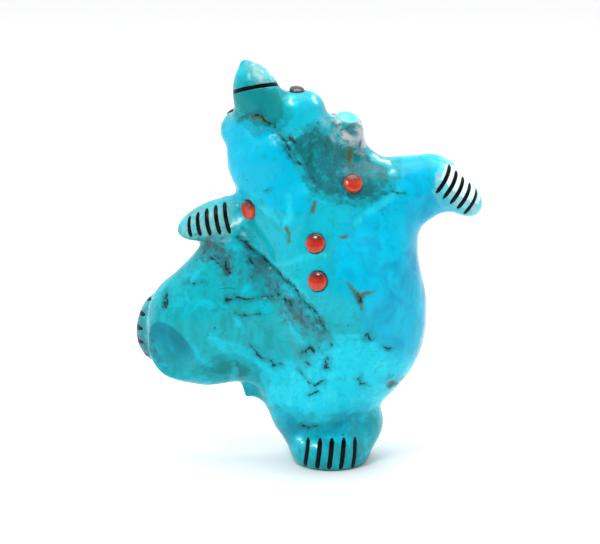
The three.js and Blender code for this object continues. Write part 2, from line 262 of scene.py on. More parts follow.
@dataclass(frozen=True)
class BearForm:
    """The bear's whole surface as a signed distance, with the same forms as its solid."""

    torso: Egg = Egg(seen(2.6, 41.4, -1), (19.4, 19.0, 26.8), -14)
    flank: Egg = Egg(seen(13.9, 54.0), (5.5, 13.0, 11.5))
    chest: Egg = Egg(seen(-7.2, 65.3), (15.9, 13.0, 12.0), -8)
    neck: Egg = Egg(seen(-12.2, 75.8, 0.5), (13.8, 11.0, 10.0), -18)
    crown: Block = Block(seen(1.2, 78.0, 3.4), (4.8, 7.0, 7.4), 10, 2.4)
    withers: Limb = Limb(seen(2.8, 81.4, 3.4), seen(4.8, 75, 3), 3.4, 4.2)
    right_arm: Limb = Limb(seen(11.2, 64.7), seen(22.6, 68.6), 10.8, 7.6)
    right_paw: Egg = Egg(seen(28.95, 67.3, -0.5), (8.0, 6.4, 4.5), 43)
    left_arm: Egg = Egg(seen(-28.9, 60.4, -0.5), (9.9, 5.2, 4.5), -22)
    skull: Egg = Egg(seen(-14.7, 84.9, 1), (10.2, 8.4, 6.1), -14)
    jaws: Egg = Egg(seen(-17.7, 86.6, -1), (6.2, 6.0, 12.1), -17)
    nose: Limb = Limb(seen(-21.6, 97.5, -1), seen(-20.6, 94.6, -1), 1.3, 3.3)
    left_ear: Egg = Egg(seen(-24.1, 82.8, 3.5), (3.1, 3.6, 3.7))
    right_ear: Egg = Egg(seen(-7.2, 87.8, 3.0), (3.2, 3.6, 3.2))
    cheek: Limb = Limb(seen(-21.5, 81.4, 1), seen(-17.8, 72, 1), 4.6, 4.6)
    nape: Limb = Limb(seen(-7.4, 86.2, 0.5), seen(-5.0, 78, 0), 4.6, 5.8)
    side: Egg = Egg(seen(-22.8, 49.0, 1), (12.5, 8.4, 10.9), -35)
    hip: Egg = Egg(seen(-15.4, 35.6, 2), (16.5, 12.0, 17.5), -10)
    thigh: Egg = Egg(seen(-31.5, 34.0, 1.5), (14.7, 10.0, 15.4), 10)
    shin: Egg = Egg(seen(-38.2, 27.2, 1), (6.8, 7.0, 6.8))
    hollow: Egg = Egg(seen(-48.2, 25.6, -9.5), (11.0, 8.2, 17.0), -55)
    raised_paw: Egg = Egg(seen(-43.2, 33.2, 7.6), (5.9, 6.5, 9.0), 7)
    tail: Block = Block(seen(-19.3, 21.8, 4), (4.2, 3.5, 4.6), -17, 0.5)
    leg: Egg = Egg(seen(-3.2, 14.3), (13.0, 11.0, 13.0), -14)
    instep: Egg = Egg(seen(-0.9, 5.0, -2), (10.5, 11.5, 8.2))
    pad: Egg = Egg(seen(-1.1, 1.8, -2), (9.6, 10.8, 5.2))
    heel: Egg = Egg(seen(6.6, 9.0, 1), (5.6, 8.0, 5.5), 20)
    edge: BellyEdge = BellyEdge()
    fillets: Fillets = Fillets()
    nudge: float = 0.05
    least_steepness: float = 0.1
    march_share: float = 0.8
    march_near: float = 0.005
    march_farthest: float = 120

    def raised_leg(self, points: Array) -> Array:
        """The leg that is off the ground, with its hollowed sole, paw and tail.

        Args:
            points: rows of coordinates in hundredths.

        Returns:
            A distance for each point, positive outside.
        """
        fillets = self.fillets
        lower = joined(self.thigh(points), (self.shin(points), fillets.shin))
        whole = joined(self.hip(points), (lower, fillets.thigh), (self.side(points), fillets.side))
        hollowed = carved(whole, self.hollow(points), fillets.hollow)
        return joined(
            hollowed,
            (self.raised_paw(points), fillets.raised_paw),
            (self.tail(points), fillets.tail),
        )

    def head(self, points: Array) -> Array:
        """The head with its muzzle and ears.

        Args:
            points: rows of coordinates in hundredths.

        Returns:
            A distance for each point, positive outside.
        """
        fillets = self.fillets
        muzzle = joined(self.jaws(points), (self.nose(points), fillets.nose))
        ears = ((self.left_ear(points), fillets.left_ear), (self.right_ear(points), fillets.right_ear))
        return joined(self.skull(points), (muzzle, fillets.muzzle), *ears)

    def trunk(self, points: Array) -> Array:
        """The body with its head and right arm.

        Args:
            points: rows of coordinates in hundredths.

        Returns:
            A distance for each point, positive outside.
        """
        fillets = self.fillets
        hump = joined(self.crown(points), (self.withers(points), fillets.withers))
        return joined(
            self.torso(points),
            (self.chest(points), fillets.chest),
            (self.neck(points), fillets.neck),
            (self.head(points), fillets.head),
            (self.cheek(points), fillets.cheek),
            (self.nape(points), fillets.nape),
            (hump, fillets.hump),
            (self.right_arm(points), fillets.right_arm),
            (self.flank(points), fillets.flank),
            (self.right_paw(points), fillets.right_paw),
        )

    def uncut(self, points: Array) -> Array:
        """Signed distances to the bear before its sole is cut flat.

        Args:
            points: rows of coordinates in hundredths.

        Returns:
            A distance for each point, positive outside.
        """
        fillets = self.fillets
        stepped = blend(self.trunk(points), self.raised_leg(points), fillets.raised_leg) + self.edge(points)
        foot = joined(self.instep(points), (self.pad(points), fillets.pad))
        return joined(
            stepped,
            (self.left_arm(points), fillets.left_arm),
            (self.leg(points), fillets.leg),
            (foot, fillets.foot),
            (self.heel(points), fillets.heel),
        )

    def distance(self, points: Array) -> Array:
        """Signed distances to the bear's surface, positive outside."""
        return carved(self.uncut(points), points[:, 2], self.fillets.sole)

    def slope(self, points: Array) -> Array:
        """How the distance grows along each axis.

        Args:
            points: rows of coordinates in hundredths.

        Returns:
            Three slopes for each point.
        """
        steps = np.eye(3) * self.nudge
        rises = [self.distance(points + step) - self.distance(points - step) for step in steps]
        return np.stack(rises, axis=1) / (2 * self.nudge)

    def outward(self, points: Array) -> Array:
        """The directions that the surface faces."""
        slope = self.slope(points)
        return slope / np.maximum(np.linalg.norm(slope, axis=1), TINY)[:, None]

    def settled(self, points: Array, steps: int = 4) -> Array:
        """Points moved onto the surface.

        Args:
            points: rows of coordinates in hundredths.
            steps: how often each point is moved.

        Returns:
            The points on the surface.
        """
        for _ in range(steps):
            slope = self.slope(points)
            steepness = np.maximum((slope * slope).sum(axis=1), self.least_steepness)
            points = points - (self.distance(points) / steepness)[:, None] * slope
        return points

    def met(self, starts: Array, way: Array) -> Array:
        """The first points of the surface that rays from outside meet.

        Args:
            starts: where the rays start, in hundredths.
            way: their direction, for all or for each.

        Returns:
            A point of the surface for each ray, or one far off where a ray misses.
        """
        gone = np.zeros(len(starts))
        going = np.ones(len(starts), bool)
        while going.any():
            distance = self.uncut(starts)
            going &= (distance >= self.march_near) & (gone < self.march_farthest)
            step = np.where(going, self.march_share * distance, 0)
            starts = starts + step[:, None] * way
            gone += step
        return starts


@dataclass(frozen=True)
class Ripple:
    """Smooth unevenness, from about -1 to 1: a sum of waves that run in every direction."""

    wavelength: float
    seed: int
    waves: int = 12
    spread: Place = (0.6, 1.7)

    def __call__(self, points: Array) -> Array:
        """The unevenness at each point.

        Args:
            points: rows of coordinates in hundredths.

        Returns:
            A height for each point.
        """
        chance = np.random.default_rng(self.seed)
        ways = chance.normal(size=(self.waves, 3))
        ways /= np.linalg.norm(ways, axis=1)[:, None]
        lengths = self.wavelength * chance.uniform(*self.spread, self.waves)
        phases = chance.uniform(0, math.tau, self.waves)
        waves = np.sin(points @ (math.tau * ways / lengths[:, None]).T + phases)
        return waves.sum(axis=1) / math.sqrt(RIPPLE_HEIGHT * self.waves)


@dataclass(frozen=True)
class Net:
    """A closed net of triangles over a form: one point in each cell that the surface crosses."""

    cell: float = 0.62
    low: Point = (-54, -24, -3)
    high: Point = (42, 24, 103)

    def values(self, form: BearForm) -> Array:
        """The form's distance at every corner of the grid.

        Args:
            form: the form that the net covers.

        Returns:
            The distances, by place across, ahead and up.
        """
        axes = [np.arange(low, high, self.cell) for low, high in zip(self.low, self.high)]
        sheet = np.stack(np.meshgrid(axes[0], axes[1], indexing="ij"), axis=-1).reshape(-1, 2)
        layers = []
        for level in axes[2]:
            points = np.column_stack([sheet, np.full(len(sheet), level)])
            layers.append(form.distance(points).reshape(len(axes[0]), len(axes[1])))
        return np.stack(layers, axis=2)

    def build(self, form: BearForm) -> tuple[Array, Array]:
        """The net's points and its triangles.

        Args:
            form: the form that the net covers.

        Returns:
            Points in hundredths, and rows of three point numbers that turn outwards.
        """
        values = self.values(form)
        inside = values < 0
        corners = [inside[tuple(slice(a, a + n - 1 or None) for a, n in zip(at, values.shape))]
                   for at in np.ndindex(2, 2, 2)]
        count = sum(corner.astype(np.int8) for corner in corners)
        cells = np.argwhere((count > 0) & (count < 8))
        number = np.full(np.array(values.shape) - 1, -1)
        number[tuple(cells.T)] = np.arange(len(cells))
        points = form.settled(self.cell_points(values, cells) * self.cell + np.array(self.low))
        return points, self.faces(inside, number, points)

    @staticmethod
    def cell_points(values: Array, cells: Array) -> Array:
        """The middle of the places where the surface crosses each cell's edges.

        Args:
            values: the distance at each corner of the grid.
            cells: the lowest corner of each cell that the surface crosses.

        Returns:
            A place in each of those cells, counted in cells.
        """
        total = np.zeros((len(cells), 3))
        crossed = np.zeros(len(cells))
        for axis in range(3):
            for turn in range(4):
                start = np.zeros(3, int)
                start[(axis + 1) % 3] = turn & 1
                start[(axis + 2) % 3] = turn >> 1
                step = np.eye(3, dtype=int)[axis]
                a = values[tuple((cells + start).T)]
                b = values[tuple((cells + start + step).T)]
                cuts = (a < 0) != (b < 0)
                share = np.where(cuts, a / np.where(cuts, a - b, 1), 0)
                total += np.where(cuts[:, None], cells + start + share[:, None] * step, 0)
                crossed += cuts
        return total / crossed[:, None]

    @staticmethod
    def faces(inside: Array, number: Array, points: Array) -> Array:
        """Two triangles round each grid edge that the surface crosses.

        Args:
            inside: which corners of the grid lie inside the form.
            number: the number of each cell's point, or -1 where it has none.
            points: the net's points.

        Returns:
            Rows of three point numbers that turn outwards.
        """
        found = []
        for axis in range(3):
            step = np.eye(3, dtype=int)[axis]
            one = np.eye(3, dtype=int)[(axis + 1) % 3]
            two = np.eye(3, dtype=int)[(axis + 2) % 3]
            ahead = np.roll(inside, -1, axis=axis)
            edges = np.argwhere(inside != ahead)
            edges = edges[np.all((edges > 0) & (edges < np.array(inside.shape) - 1), axis=1)]
            around = (0 * step, one, one + two, two)
            ring = np.stack([number[tuple((edges - back).T)] for back in around], axis=1)
            turned = ~inside[tuple(edges.T)]
            ring[turned] = ring[turned][:, ::-1]
            a, b, c, d = ring.T
            one_way = np.linalg.norm(points[a] - points[c], axis=1)
            other_way = np.linalg.norm(points[b] - points[d], axis=1)
            first = (one_way < other_way)[:, None]
            found.append(np.where(first, ring[:, [0, 1, 2]], ring[:, [1, 2, 3]]))
            found.append(np.where(first, ring[:, [0, 2, 3]], ring[:, [1, 3, 0]]))
        return np.concatenate(found)


# The triangles that replace one whose marked edges are halved; 3, 4 and 5 are the middles of its edges
HALVINGS = {
    0: [(0, 1, 2)],
    1: [(0, 3, 2), (3, 1, 2)],
    2: [(0, 1, 4), (0, 4, 2)],
    3: [(3, 1, 4), (0, 3, 4), (0, 4, 2)],
    4: [(0, 1, 5), (5, 1, 2)],
    5: [(0, 3, 5), (3, 1, 2), (3, 2, 5)],
    6: [(4, 2, 5), (0, 1, 4), (0, 4, 5)],
    7: [(0, 3, 5), (3, 1, 4), (5, 4, 2), (3, 4, 5)],
}


def edges_of(faces: Array) -> tuple[Array, Array]:
    """The edges of a mesh of triangles, each once.

    Args:
        faces: rows of three point numbers.

    Returns:
        The two point numbers of each edge, and the edge numbers of each triangle.
    """
    pairs = np.concatenate([faces[:, [0, 1]], faces[:, [1, 2]], faces[:, [2, 0]]])
    edges, which = np.unique(np.sort(pairs, axis=1), axis=0, return_inverse=True)
    return edges, which.reshape(3, -1).T


def halved(points: Array, faces: Array, edges: Array, which: Array, cut: Array) -> tuple[Array, Array]:
    """Triangles with some of their edges halved, and no gap beside their neighbours.

    Args:
        points: the mesh's points.
        faces: its triangles.
        edges: its edges.
        which: the edges of each triangle.
        cut: which edges to halve.

    Returns:
        The points with the new middles after them, and the new triangles.
    """
    middle = np.cumsum(cut) - 1 + len(points)
    codes = cut[which] @ np.array([1, 2, 4])
    corners = np.concatenate([faces, middle[which]], axis=1)
    pieces = [corners[codes == code][:, list(triangle)] for code in HALVINGS for triangle in HALVINGS[code]]
    return np.concatenate([points, points[edges[cut]].mean(axis=1)]), np.concatenate(pieces)


def nearest_on(points: Array, line: Array, reach: float) -> tuple[Array, Array]:
    """How far points are from a line of straight stretches, and where along it.

    Args:
        points: places in the plane or in space.
        line: the line's points in order.
        reach: no distance beyond this is measured.

    Returns:
        The distances, at most reach, and the share of the line's points that lies before each place.
    """
    distance = np.full(len(points), reach)
    share = np.zeros(len(points))
    within = (points > line.min(axis=0) - reach) & (points < line.max(axis=0) + reach)
    near = np.flatnonzero(np.all(within, axis=1))
    places = points[near]
    for number, (start, end) in enumerate(zip(line[:-1], line[1:])):
        along = end - start
        part = np.clip((places - start) @ along / max(along @ along, TINY), 0, 1)
        away = np.linalg.norm(places - start - part[:, None] * along, axis=1)
        closer = away < distance[near]
        distance[near[closer]] = away[closer]
        share[near[closer]] = (number + part[closer]) / (len(line) - 1)
    return distance, share


def inside_by(places: Array, outline: Sequence[Place]) -> Array:
    """How far each place lies inside an outline, below zero outside it.

    Args:
        places: rows of places in the plane.
        outline: the corners of the area in order.

    Returns:
        A distance for each place, no larger than the reach of a zone.
    """
    corners = np.array(outline, float)
    inside = np.zeros(len(places), bool)
    for (ax, ay), (bx, by) in zip(corners, np.roll(corners, -1, axis=0)):
        spans = (ay > places[:, 1]) != (by > places[:, 1])
        at = ax + (places[:, 1] - ay) / (by - ay if by != ay else 1) * (bx - ax)
        inside ^= spans & (places[:, 0] < at)
    distance, _ = nearest_on(places, np.concatenate([corners, corners[:1]]), ZONE_REACH)
    return np.where(inside, distance, -distance)


# How narrow a cut line's ends are, and the share of its length over which they narrow
END_WIDTH = 0.6
END_LENGTH = 0.1


def tapered(share: Array) -> Array:
    """A cut line's width along it, as a share: full in the middle, narrow at its ends."""
    return END_WIDTH + (1 - END_WIDTH) * smoothstep(np.minimum(share, 1 - share), 0, END_LENGTH)


@dataclass(frozen=True)
class CutLine:
    """A line cut into the surface and filled with black."""

    path: Array
    up: Array
    width: float
    depth: float
    wall: Place = (-0.08, 0.1)

    def inside(self, points: Array) -> Array:
        """How far each point lies inside the line, below zero outside it."""
        distance, share = nearest_on(points, self.path, 2 * self.width)
        return self.width / 2 * tapered(share) - distance

    def sunk(self, points: Array) -> Array:
        """How far the line lowers the surface at each point."""
        return self.depth * smoothstep(self.inside(points), *self.wall)


class Toe(Enum):
    """A paw's claws: the first and last line from top to bottom, how far they bow and their width."""

    LEFT_ARM = (((-35.2, 60.7), (-34.9, 55.8)), ((-26.7, 64.2), (-25.5, 56.7)), -0.3, 0.47)
    RIGHT_ARM = (((27.4, 73.3), (24.1, 66.5)), ((33.9, 67.3), (31.0, 61.4)), 0.6, 0.47)
    FOOT = (((-6.6, 5.5), (-7.4, -1.8)), ((5.0, 5.7), (4.3, -2.2)), 0.1, 0.56)


@dataclass(frozen=True)
class CutLines:
    """Every claw line and the mouth."""

    form: BearForm
    claws: int = 5
    raised_width: float = 0.52 * TO_HUNDREDTHS
    mouth_width: float = 0.46 * TO_HUNDREDTHS
    depth: float = 0.2 * TO_HUNDREDTHS
    raised_pitch: float = 3.4
    raised_middle: float = 0.4
    raised_turn: Place = (225, 100)
    mouth_middle: Point = seen(-19.5, 91.8, -1)
    mouth_rise: float = 10.5
    mouth_reach: float = 112
    claw_points: int = 22
    mouth_points: int = 60
    start_out: float = 20
    lowest: float = 0.25

    def laid(self, starts: Array, way: Array, width: float) -> CutLine:
        """A line dropped onto the surface from outside, down to the ground.

        Args:
            starts: where each point's ray starts.
            way: the rays' direction.
            width: the line's width in hundredths.

        Returns:
            The line where the rays meet the surface.
        """
        path = self.form.met(starts, way)
        path = path[path[:, 2] > self.lowest]
        return CutLine(path, self.form.outward(path), width, self.depth)

    def front_claws(self, toe: Toe) -> list[CutLine]:
        """The claw lines of a paw that shows from the front.

        Args:
            toe: the paw.

        Returns:
            Its lines, from the first to the last.
        """
        *ends, bow, width = toe.value
        first, last = (np.array([seen(*end) for end in line]) for line in ends)
        shares = np.linspace(0, 1, self.claw_points)[:, None]
        bowed = 4 * bow * shares * (1 - shares) * np.array([1, 0, 0])
        lines = []
        for part in np.linspace(0, 1, self.claws):
            top, bottom = first + (last - first) * part
            starts = top + (bottom - top) * shares + bowed - 2 * self.start_out * SIGHT
            lines.append(self.laid(starts, SIGHT[None, :], width * TO_HUNDREDTHS))
        return lines

    def raised_claws(self) -> list[CutLine]:
        """The raised paw's claws, level round its outer end, one above another.

        Returns:
            Its lines, from the lowest up.
        """
        turns = np.radians(np.linspace(*self.raised_turn, self.claw_points))
        out = np.column_stack([np.cos(turns), np.sin(turns), np.zeros_like(turns)])
        lines = []
        for number in range(self.claws):
            height = self.raised_middle + self.raised_pitch * (number - (self.claws - 1) / 2)
            middle = np.array(self.form.raised_paw.centre) + [0, 0, height]
            lines.append(self.laid(middle + self.start_out * out, -out, self.raised_width))
        return lines

    def mouth(self) -> CutLine:
        """The mouth, round the muzzle from cheek to cheek.

        Returns:
            The line on the surface.
        """
        turns = np.radians(np.linspace(-self.mouth_reach, self.mouth_reach, self.mouth_points))[:, None]
        rise = math.radians(self.mouth_rise)
        out = np.array([math.cos(rise), 0, math.sin(rise)]) * np.sin(turns) - SIGHT * np.cos(turns)
        return self.laid(np.array(self.mouth_middle) + self.start_out * out, -out, self.mouth_width)

    def all(self) -> list[CutLine]:
        """Every line."""
        front = [line for toe in Toe for line in self.front_claws(toe)]
        return [*front, *self.raised_claws(), self.mouth()]


@dataclass(frozen=True)
class Cabochon:
    """A domed stone that is let into the bear: its node, sizes in millimetres, place and facing."""

    node: str
    diameter: float
    proud: float
    point: Array
    facing: Array
    gap: float = 0.02
    lip: float = 0.08
    seat: float = 0.16

    def sunk(self, points: Array) -> Array:
        """How far the seat lowers the bear's surface at each point.

        Args:
            points: rows of coordinates in hundredths.

        Returns:
            The drop at each point, in hundredths.
        """
        offset = (points - self.point) / TO_HUNDREDTHS
        height = offset @ self.facing
        away = np.linalg.norm(offset - height[:, None] * self.facing, axis=1)
        seat = self.seat * (1 - smoothstep(away - self.diameter / 2, self.gap / 2, self.gap + self.lip))
        return np.where(np.abs(height) < self.diameter, seat * TO_HUNDREDTHS, 0)

    def near(self, points: Array) -> Array:
        """How far points are from the stone's rim, in hundredths."""
        away = np.linalg.norm(points - self.point, axis=1)
        return np.abs(away - self.diameter / 2 * TO_HUNDREDTHS)


class Inlay(Enum):
    """The kinds of stone that are let in, with diameter and height in millimetres."""

    CORAL = (2.3, 0.65)
    JET = (1.8, 0.4)
    PALE = (2.7, 0.7)


# The dots' places as seen from the front, and how far away the search for each surface starts
DOTS = {
    "left_chest": (-20.9, 62.2),
    "right_chest": (4.0, 68.5),
    "upper_belly": (-4.9, 53.9),
    "lower_belly": (-4.4, 44.8),
}
AHEAD = 40
ABOVE = 15


def coral_dots(form: BearForm) -> list[Cabochon]:
    """The coral dots, where they show from the front.

    Args:
        form: the bear's surface.

    Returns:
        The dots in place.
    """
    starts = np.array([seen(*place) for place in DOTS.values()]) - AHEAD * SIGHT
    places = form.met(starts, SIGHT[None, :])
    facings = form.outward(places)
    return [Cabochon(f"coral_dot_{name}", *Inlay.CORAL.value, place, facing)
            for name, place, facing in zip(DOTS, places, facings)]


def faced(form: BearForm, node: str, kind: Inlay, aim: Point, facing: Point) -> Cabochon:
    """A stone on the surface beyond a point, facing a given way.

    Args:
        form: the bear's surface.
        node: the stone's node in the solids.
        kind: its size and stone.
        aim: a point inside the bear, below the stone.
        facing: the way it faces.

    Returns:
        The stone in place.
    """
    out = np.array(facing) / np.linalg.norm(facing)
    place = form.met((np.array(aim) + ABOVE * out)[None, :], -out[None, :])[0]
    return Cabochon(node, *kind.value, place, out)


def let_in(form: BearForm) -> dict[Inlay, list[Cabochon]]:
    """Every stone that is let into the bear, by kind.

    Args:
        form: the bear's surface.

    Returns:
        The cabochons in place.
    """
    right_eye = faced(form, "jet_eye_right", Inlay.JET, seen(-9.3, 91.6), (0.1, -0.3, 0.95))
    left_eye = faced(form, "jet_eye_left", Inlay.JET, seen(-23.9, 85.2, 4.6), (-0.45, 0.3, 0.85))
    crown = faced(form, "turquoise_crown", Inlay.PALE, seen(2.9, 85.0), (0.2, -0.35, 0.92))
    return {Inlay.CORAL: coral_dots(form), Inlay.JET: [right_eye, left_eye], Inlay.PALE: [crown]}


# Where the stone's colours lie, and where highlights and shade are painted, as seen from the front
class Zone(Enum):
    """Areas of the stone's colours, of painted highlights and of painted shade, each as outlines in places
    seen from the front.
    """

    AZURE = (
        ((13, 70), (17, 74.5), (22, 74), (24.2, 70), (25, 66), (28, 60.5), (28, 56), (25, 56), (26, 45),
         (27, 33), (20, 27), (15.5, 26.5),
         (10.5, 30), (7, 33), (6, 38.5), (-1, 44.5), (-2, 49.5), (0, 55), (5, 60), (12.5, 65.5)),
    )
    PANEL = (
        ((-32, 82), (-22, 84), (-16, 83.5), (-12.5, 77.5), (-10.5, 74), (-7, 69), (-6.5, 63.5), (-8, 60),
         (-12, 57), (-14.5, 60.5), (-18.5, 64), (-22.5, 66), (-32, 67.5)),
    )
    SLATE = (
        ((-12, 77.5), (-9, 81), (-5, 82.5), (-0.5, 80), (6, 77.5), (12.5, 74.5), (14.5, 71.5), (13, 67.5),
         (10, 65.5), (6.5, 63.5), (3, 64), (-2.5, 65), (-5.5, 66), (-7, 69.5), (-9, 74)),
    )
    # Greener areas: on the jaw partly painted shade under the muzzle; above the tail painted shade where the
    # thigh meets it
    JADE = (
        ((-19, 81), (-24, 86), (-26, 91.6), (-20, 92.4), (-14, 93), (-12, 89), (-11, 84), (-14, 82)),
        ((-32, 23), (-28, 25.5), (-24.6, 26), (-20, 24.5), (-19, 20.3), (-23.6, 20.4), (-30, 20.6)),
    )
    MATRIX = (
        ((-2.5, 86), (0, 90), (7, 90), (11, 76), (5, 77), (1, 79), (-2, 81)),
        ((-34, 54.5), (-30.5, 55.5), (-25.5, 55), (-23, 50.5), (-23.5, 46), (-26.5, 44.5), (-29, 48),
         (-32.5, 51)),
        ((-22, 54.5), (-17.5, 51), (-15, 48.3), (-12, 45.2), (-10.5, 42), (-13.5, 40), (-17, 42), (-20, 47)),
        ((-11, 43), (-7.3, 39.6), (-4, 35.3), (-1.7, 31), (-4.2, 31.2), (-9, 33.2), (-12.5, 36.5), (-13, 40)),
        ((13, 20.5), (15.5, 21.5), (17, 18.5), (14, 17.5)),
        ((7, 1.5), (9, 2.5), (10, 0), (7, -1.5)),
        ((-50, 46), (-44.6, 46), (-46.2, 38), (-46, 31), (-43.6, 25), (-50, 24)),
    )
    # Greyer green: the stone's own on the left arm; on the muzzle's tip and the right paw partly painted
    # highlight round the painted glints
    MIST = (
        ((-38.4, 58), (-35.5, 62), (-29.3, 64.5), (-25.6, 65), (-24.6, 58), (-27.6, 55), (-34, 54.5),
         (-38, 55)),
        ((-20.3, 100), (-17.8, 98.4), (-15, 95.4), (-13.6, 93.4), (-17.8, 92.4), (-20, 94.6), (-21, 97.6)),
        ((24, 66.5), (26, 72), (30, 71), (35, 66), (35.4, 61.5), (31.5, 59.5), (28, 62)),
    )
    # Painted highlights: a glint on the muzzle's tip and the glare on the right paw's top
    PALE = (
        ((-19.3, 97.6), (-18, 98.2), (-16.2, 95.8), (-15.4, 93.6), (-17.4, 93.6), (-18.8, 95.4)),
        ((24.2, 69), (25.6, 74.4), (30.4, 74.4), (34, 70.4), (36.4, 66), (34.6, 62.6), (30.6, 63.8),
         (26.6, 66.4)),
    )
    # Light cyan: the stone's own round the leg; on the right arm's top a painted highlight where the light
    # from above falls
    AQUA = (
        ((-30, 30), (-18, 26), (-8, 23), (0, 31), (9, 31), (20, 27), (26, 20), (8, 11), (-14, 11), (-17, 21)),
        ((14, 77), (20, 80), (27, 79), (31, 75), (40, 66), (38, 57), (29, 58), (24, 66), (21.5, 73.5),
         (16, 73.5)),
    )
    COLUMN = (
        ((-24, 66), (-17, 55), (-11.5, 50), (-5, 40), (-1, 33), (4, 34), (5, 39), (-1.5, 44.5), (-3, 50),
         (-1, 55), (5, 60.5), (11, 65), (15.5, 71), (14, 73), (12, 68), (4, 63), (-5, 64), (-12, 56),
         (-20, 64)),
        ((-12, 89.5), (-8.5, 94), (-2, 93), (0.5, 85), (-4, 81), (-8.5, 80), (-12, 82)),
    )
    # A darker blue band round the ankle, partly painted shade in the ankle's crease
    DEEP = (
        ((-13.8, 12.5), (-10.5, 12.8), (-8.5, 10.5), (-4, 11), (-1, 13), (7.6, 14), (8.2, 8), (-2, 7),
         (-12, 4.5)),
    )

    def inside(self, places: Array) -> Array:
        """How far each place lies inside the area, below zero outside it."""
        return np.max([inside_by(places, outline) for outline in self.value], axis=0)


@dataclass(frozen=True)
class Mark:
    """A mark among the cracks, pits, stains, painted highlights and lines of painted shade: its line as seen
    from the front, and half its width at its two ends.
    """

    line: tuple[Place, ...]
    half: Place

    def inside(self, places: Array) -> Array:
        """How far each place lies inside the mark, below zero outside it."""
        distance, share = nearest_on(places, np.array(self.line), MARK_REACH)
        return self.half[0] + (self.half[1] - self.half[0]) * share - distance


DARK_MARKS = (
    Mark(((4.8, 41.8), (5.8, 40.9), (5.6, 39.9)), (0.15, 0.3)),
    Mark(((-36, 44.6), (-34.4, 44), (-31.6, 44.5)), (0.1, 0.2)),
    Mark(((-24.5, 36.8), (-21.4, 36.2), (-18.6, 36.8)), (0.1, 0.25)),
    # The jaw line: partly cracking in the stone, partly painted shade under the muzzle where it meets the
    # chest
    Mark(((-22.6, 84.3), (-20.2, 85.2), (-17.5, 84.5)), (0.1, 0.36)),
    Mark(((-17.8, 84.4), (-14.7, 82.8), (-14.2, 81.2), (-11.8, 78.5), (-10.3, 75.2)), (0.3, 0.4)),
    Mark(((-10.3, 75.2), (-7.4, 71.8), (-5.8, 69)), (0.36, 0.16)),
    Mark(((-10.9, 79.2), (-9.6, 78.3)), (0.6, 0.35)),
    Mark(((-26, 40.2), (-23.8, 40.8), (-20.8, 40.2)), (0.35, 0.4)),
    Mark(((-20.8, 40.4), (-16.6, 41), (-13.6, 41.4)), (0.3, 0.2)),
    Mark(((-40.9, 41.8), (-41.2, 38.2)), (0.3, 0.5)),
    Mark(((-20.6, 29.2), (-18.6, 26.9)), (0.15, 0.2)),
    Mark(((-18.8, 26.6), (-16.8, 25.4)), (0.5, 0.25)),
    Mark(((-16.2, 25.3), (-15.6, 24.8)), (0.4, 0.3)),
    Mark(((-15.3, 24), (-13.2, 23.7)), (0.45, 0.25)),
    Mark(((-9, 22.8), (-7.6, 20.9), (-4.9, 19.1)), (0.15, 0.3)),
    Mark(((-4.9, 19.1), (-3.1, 20.2)), (0.35, 0.3)),
    Mark(((-6.1, 16.4), (-4.4, 17.2)), (0.3, 0.45)),
    # The belly's edge: painted shadow along the foot of its step
    Mark(((-23.4, 55.6), (-21.6, 54), (-17.8, 50.9), (-12, 45.4), (-8, 41), (-4.6, 36.6), (-2.6, 33)),
         (0.3, 0.24)),
    Mark(((-12.6, 40.6), (-11.4, 39.6), (-10.6, 38.6)), (0.2, 0.35)),
    Mark(((-8.6, 26.6), (-6.4, 28.4), (-5.4, 27.4)), (0.2, 0.5)),
    Mark(((-6.8, 24.4), (-6.2, 24.2)), (0.4, 0.3)),
    Mark(((-1.8, 26.2), (-2.3, 23.8)), (0.25, 0.5)),
    Mark(((-1.2, 29.8), (-0.8, 29.3)), (0.3, 0.3)),
    Mark(((6.6, 30.9), (7.8, 32.2), (8.4, 30.8)), (0.3, 0.45)),
    Mark(((11.4, 28.9), (13, 28.4)), (0.35, 0.2)),
    Mark(((5.4, 21.2), (6, 19.8), (7, 19.6)), (0.3, 0.35)),
    Mark(((-8, 8.8), (-6.4, 8), (-4.2, 9)), (0.2, 0.3)),
    Mark(((-16.6, 66.8), (-16.1, 66.9)), (0.35, 0.35)),
    Mark(((-29.6, 50.2), (-27.8, 48.8)), (0.4, 0.3)),
    Mark(((-26.6, 49.4), (-25.6, 46.8)), (0.25, 0.45)),
    Mark(((-20.6, 49.8), (-19.4, 48.6)), (0.4, 0.3)),
    Mark(((11.4, 65.6), (13.6, 66.4), (16, 66.2)), (0.15, 0.3)),
)
# Painted highlights: small glints where light catches the foot, the left arm, the right shoulder, the head,
# the muzzle's tip and the raised paw's edge
LIGHT_MARKS = (
    Mark(((-8.9, 5.4), (-8.1, 4.6)), (0.25, 0.2)),
    Mark(((-6, 4.1), (-4.4, 4)), (0.2, 0.32)),
    Mark(((-25.2, 58.3), (-24, 59.1), (-23, 60.2)), (0.15, 0.4)),
    Mark(((13.4, 71.6), (13.7, 71.6)), (0.3, 0.3)),
    Mark(((9.4, 75.6), (12.6, 74.2)), (0.3, 0.5)),
    Mark(((-10.8, 89.2), (-10.5, 88)), (0.35, 0.45)),
    Mark(((-5.6, 89.9), (-5, 88.6)), (0.3, 0.3)),
    Mark(((-46.4, 42), (-46.9, 38.5), (-46.4, 34)), (0, 0.1)),
    Mark(((-16.2, 96.2), (-15.6, 95)), (0.4, 0.3)),
)
